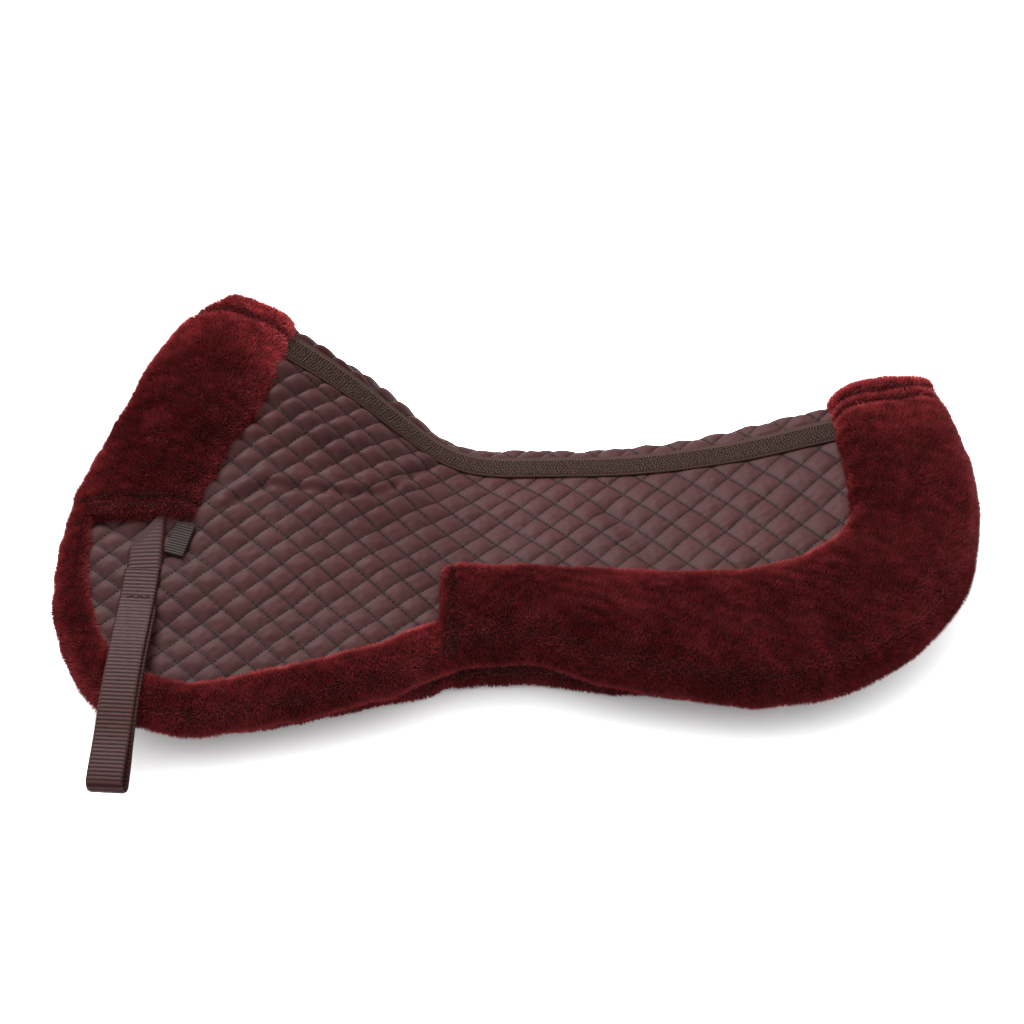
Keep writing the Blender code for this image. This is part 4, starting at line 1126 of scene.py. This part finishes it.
def webbing_ribbon(name, middle, out, across):
    """Webbing swept along a closed line: both faces ribbed, both edges rounded."""
    run = run_along(middle)
    side = np.linspace(-1, 1, 19)
    side = np.sign(side) * np.abs(side) ** 0.8
    edge = (1 - np.abs(side) ** 10) ** 0.5
    rib = webbing_ribs(run)[:, None]
    spots = np.stack(np.meshgrid(run, side * STRAP_WIDTH / 2, indexing="ij"), -1)
    grain = 0.05 * waves(spots, 2.2, 61)
    thick = (WEBBING / 2 - 0.15 + RIB_RISE * rib + grain) * edge[None, :]
    ring = np.concatenate([thick, -thick[:, ::-1]], axis=1)
    ring_side = np.concatenate([side, side[::-1]])[None, :] * STRAP_WIDTH / 2
    ring_side = ring_side + 0.12 * rib * np.sign(ring_side)
    places = middle[:, None, :] + across * ring_side[..., None]
    places = places + out[:, None, :] * ring[..., None]
    places = np.concatenate([places, places[:, :1]], axis=1)
    places = np.concatenate([places, places[:1]], axis=0)
    item = webbing_piece(name, places, True, np.vstack([rib, rib[:1]]))
    shape = bmesh.new()
    shape.from_mesh(item.data)
    bmesh.ops.remove_doubles(shape, verts=shape.verts, dist=0.005 * MM)
    bmesh.ops.recalc_face_normals(shape, faces=shape.faces)
    shape.to_mesh(item.data)
    shape.free()
    return item


def ribbed_nylon():
    """Nylon webbing dyed dark burgundy: brown pink on its ribs, with painted shade, dark red, in
    the grooves between them, and the slight gloss of filament yarn."""
    material, tree = new_material("ribbed_nylon_webbing")
    relief = add_node(tree, "ShaderNodeAttribute", attribute_name="tip").outputs["Fac"]
    place = add_node(tree, "ShaderNodeTexCoord").outputs["Object"]
    yarn = add_node(tree, "ShaderNodeTexNoise", {"Vector": place, "Scale": FILAMENTS, "Detail": 3.0})
    tops = add_node(tree, "ShaderNodeMix", {"Factor": yarn.outputs[0], 6: linear("#200c0b"),
                                            7: linear("#341a18")}, data_type="RGBA")
    # Painted shade in the grooves between the ribs.
    tint = add_node(tree, "ShaderNodeMix", {"Factor": relief, 6: linear("#0b0202"),
                                            7: tops.outputs[2]}, data_type="RGBA")
    threads = add_node(tree, "ShaderNodeBump", {"Height": yarn.outputs[0], "Strength": 0.35,
                                                "Distance": 0.15 * MM})
    return finished(material, {
        "Base Color": tint.outputs[2], "Roughness": 0.55, "IOR": 1.53,
        "Specular IOR Level": 0.06, "Normal": threads.outputs[0]})


def strap_places(root, heading, line, out):
    """Turns a strap's line, drawn sideways on, into places in space."""
    along = np.array((math.cos(heading), math.sin(heading), 0.0))
    across = np.array((-along[1], along[0], 0.0))
    up = np.array((0.0, 0.0, 1.0))
    middle = root + np.outer(line[:, 0], along) + np.outer(line[:, 1], up)
    middle = middle + np.outer(line[:, 2], across)
    return middle, np.outer(out[:, 0], along) + np.outer(out[:, 1], up), across, along


def folded_tab(name):
    """The left strap's sewn root: flat webbing, its top corner folded under at a slant."""
    side = np.linspace(-1, 1, 27)[None, :]
    low, high = STRAP_ROOT[1] - 1.0, TAB_MIDDLE + TAB_SLANT * side
    y = low + (high - low) * np.linspace(0, 1, 121)[:, None]
    x = STRAP_ROOT[0] + 0.8 + side * STRAP_WIDTH / 2 + 0 * y
    rib = webbing_ribs(y - low)
    fold = smooth_step((high - y) / TAB_FOLD)
    edge = (1 - np.abs(side) ** 10) ** 0.5 * np.clip((high - y) / 1.2, 0, 1) ** 0.5
    height = 0.6 + edge * (2.6 + RIB_RISE * rib * fold + 0.5 * (1 - fold))
    return webbing_piece(name, on_sheet(x, y - spine_y(x), height), True,
                         rib * fold + 0.55 * (1 - fold))


def laid_tab(name):
    """The right strap's sewn root, which lies flat beneath the pad."""
    u, v = np.meshgrid(np.linspace(-1, 1, 41), np.linspace(-1, 1, 27), indexing="ij")
    x, y = LAID_ROOT[0] + u * LAID_TAB_HALF, LAID_ROOT[1] + v * STRAP_WIDTH / 2
    edge = ((1 - u**10) * (1 - v**10)) ** 0.5
    height = 0.3 + edge * (2.4 + RIB_RISE * webbing_ribs(x))
    return webbing_piece(name, on_sheet(x, FOLD_LENGTH + spine_y(x) - y, height), False,
                         webbing_ribs(x))


def hang_strap(piece):
    """Bakes the strap piece's placing into its mesh."""
    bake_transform(piece)


nylon = ribbed_nylon()
tab = folded_tab("left_strap_root")
bend_with_fold(tab)
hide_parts("left_strap_tab")
root = on_sheet(STRAP_ROOT[0], STRAP_ROOT[1] - spine_y(STRAP_ROOT[0]), 1.0 + WEBBING + 0.3)
line, out = strap_line(STRAP_ROUTE, LEFT_MOUTH)
middle, out, across, along = strap_places(root, math.radians(-90 - STRAP_SLANT), line, out)
strap = webbing_ribbon("left_webbing_loop", middle, out, across)
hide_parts("left_girth_strap")
tack = [middle[k] + out[k] * 1.2 + across * np.linspace(-7, 8, 16)[:, None]
        + 0.4 * along * (-1.0) ** np.arange(16)[:, None] for k in TACK_AT]
tacking = thread_piece("left_strap_bartack", tack, lay_stitches, thread, *TACK_STITCHES)
for piece in (strap, tacking):
    hang_strap(piece)

root = on_sheet(LAID_ROOT[0], FOLD_LENGTH + spine_y(LAID_ROOT[0]) - LAID_ROOT[1], LAID_DEPTH)
root = root + np.array((LAID_START, 0.0, 0.0))
line, out = strap_line([(0, 0), (60, 0), (120, 0), (LAID_LENGTH, 0)], RIGHT_MOUTH)
middle, out, across, along = strap_places(root, 0.0, line, out)
laid = webbing_ribbon("right_webbing_loop", middle, out, across)
hang_strap(laid)
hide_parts("right_girth_strap")
root_tab = laid_tab("right_strap_root")
bend_with_fold(root_tab)
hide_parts("right_strap_tab")

# Care label
# A small woven label, sewn on beside the strap. It is left bare: it carries no words or marks.
LABEL_SIZE, LABEL_PLACE, LABEL_TURN = (15.0, 26.0), (-237.0, -70.0), -17.0
LABEL_RISE, LABEL_RIM, WEFT_PITCH, WEFT_RISE, LABEL_CURL = 1.5, 0.03, 2.0, 0.3, 0.6


def woven_label():
    """Polyester ribbon in dark brown, with painted shade between its weft ribs, drawn 2 mm apart to
    show.
    """
    material, tree = new_material("woven_polyester_label")
    relief = add_node(tree, "ShaderNodeAttribute", attribute_name="tip").outputs["Fac"]
    # Painted shade between the weft ribs.
    tint = add_node(tree, "ShaderNodeMix", {"Factor": relief, 6: linear("#050202"),
                                            7: linear("#1c0e0b")}, data_type="RGBA")
    return finished(material, {"Base Color": tint.outputs[2], "Roughness": 0.5, "IOR": 1.5,
                               "Specular IOR Level": 0.06})


u, v = np.meshgrid(np.linspace(-0.5, 0.5, 31), np.linspace(-0.5, 0.5, 79), indexing="ij")
turn = math.radians(LABEL_TURN)
wide, long = u * LABEL_SIZE[0], v * LABEL_SIZE[1]
x = LABEL_PLACE[0] + wide * math.cos(turn) - long * math.sin(turn)
y = LABEL_PLACE[1] + wide * math.sin(turn) + long * math.cos(turn)
weft = 0.5 + 0.5 * np.cos(2 * np.pi * long / WEFT_PITCH)
rim = np.clip((0.5 - np.maximum(np.abs(u), np.abs(v))) / LABEL_RIM, 0, 1) ** 0.5
height = 0.3 + rim * (LABEL_RISE + WEFT_RISE * weft + LABEL_CURL * (v - 0.1) ** 2)
label = sheet_object("bare_woven_label", on_sheet(x, y - spine_y(x), height), True, tip=weft)
label.data.materials.append(woven_label())
bend_with_fold(label)
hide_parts("care_label")
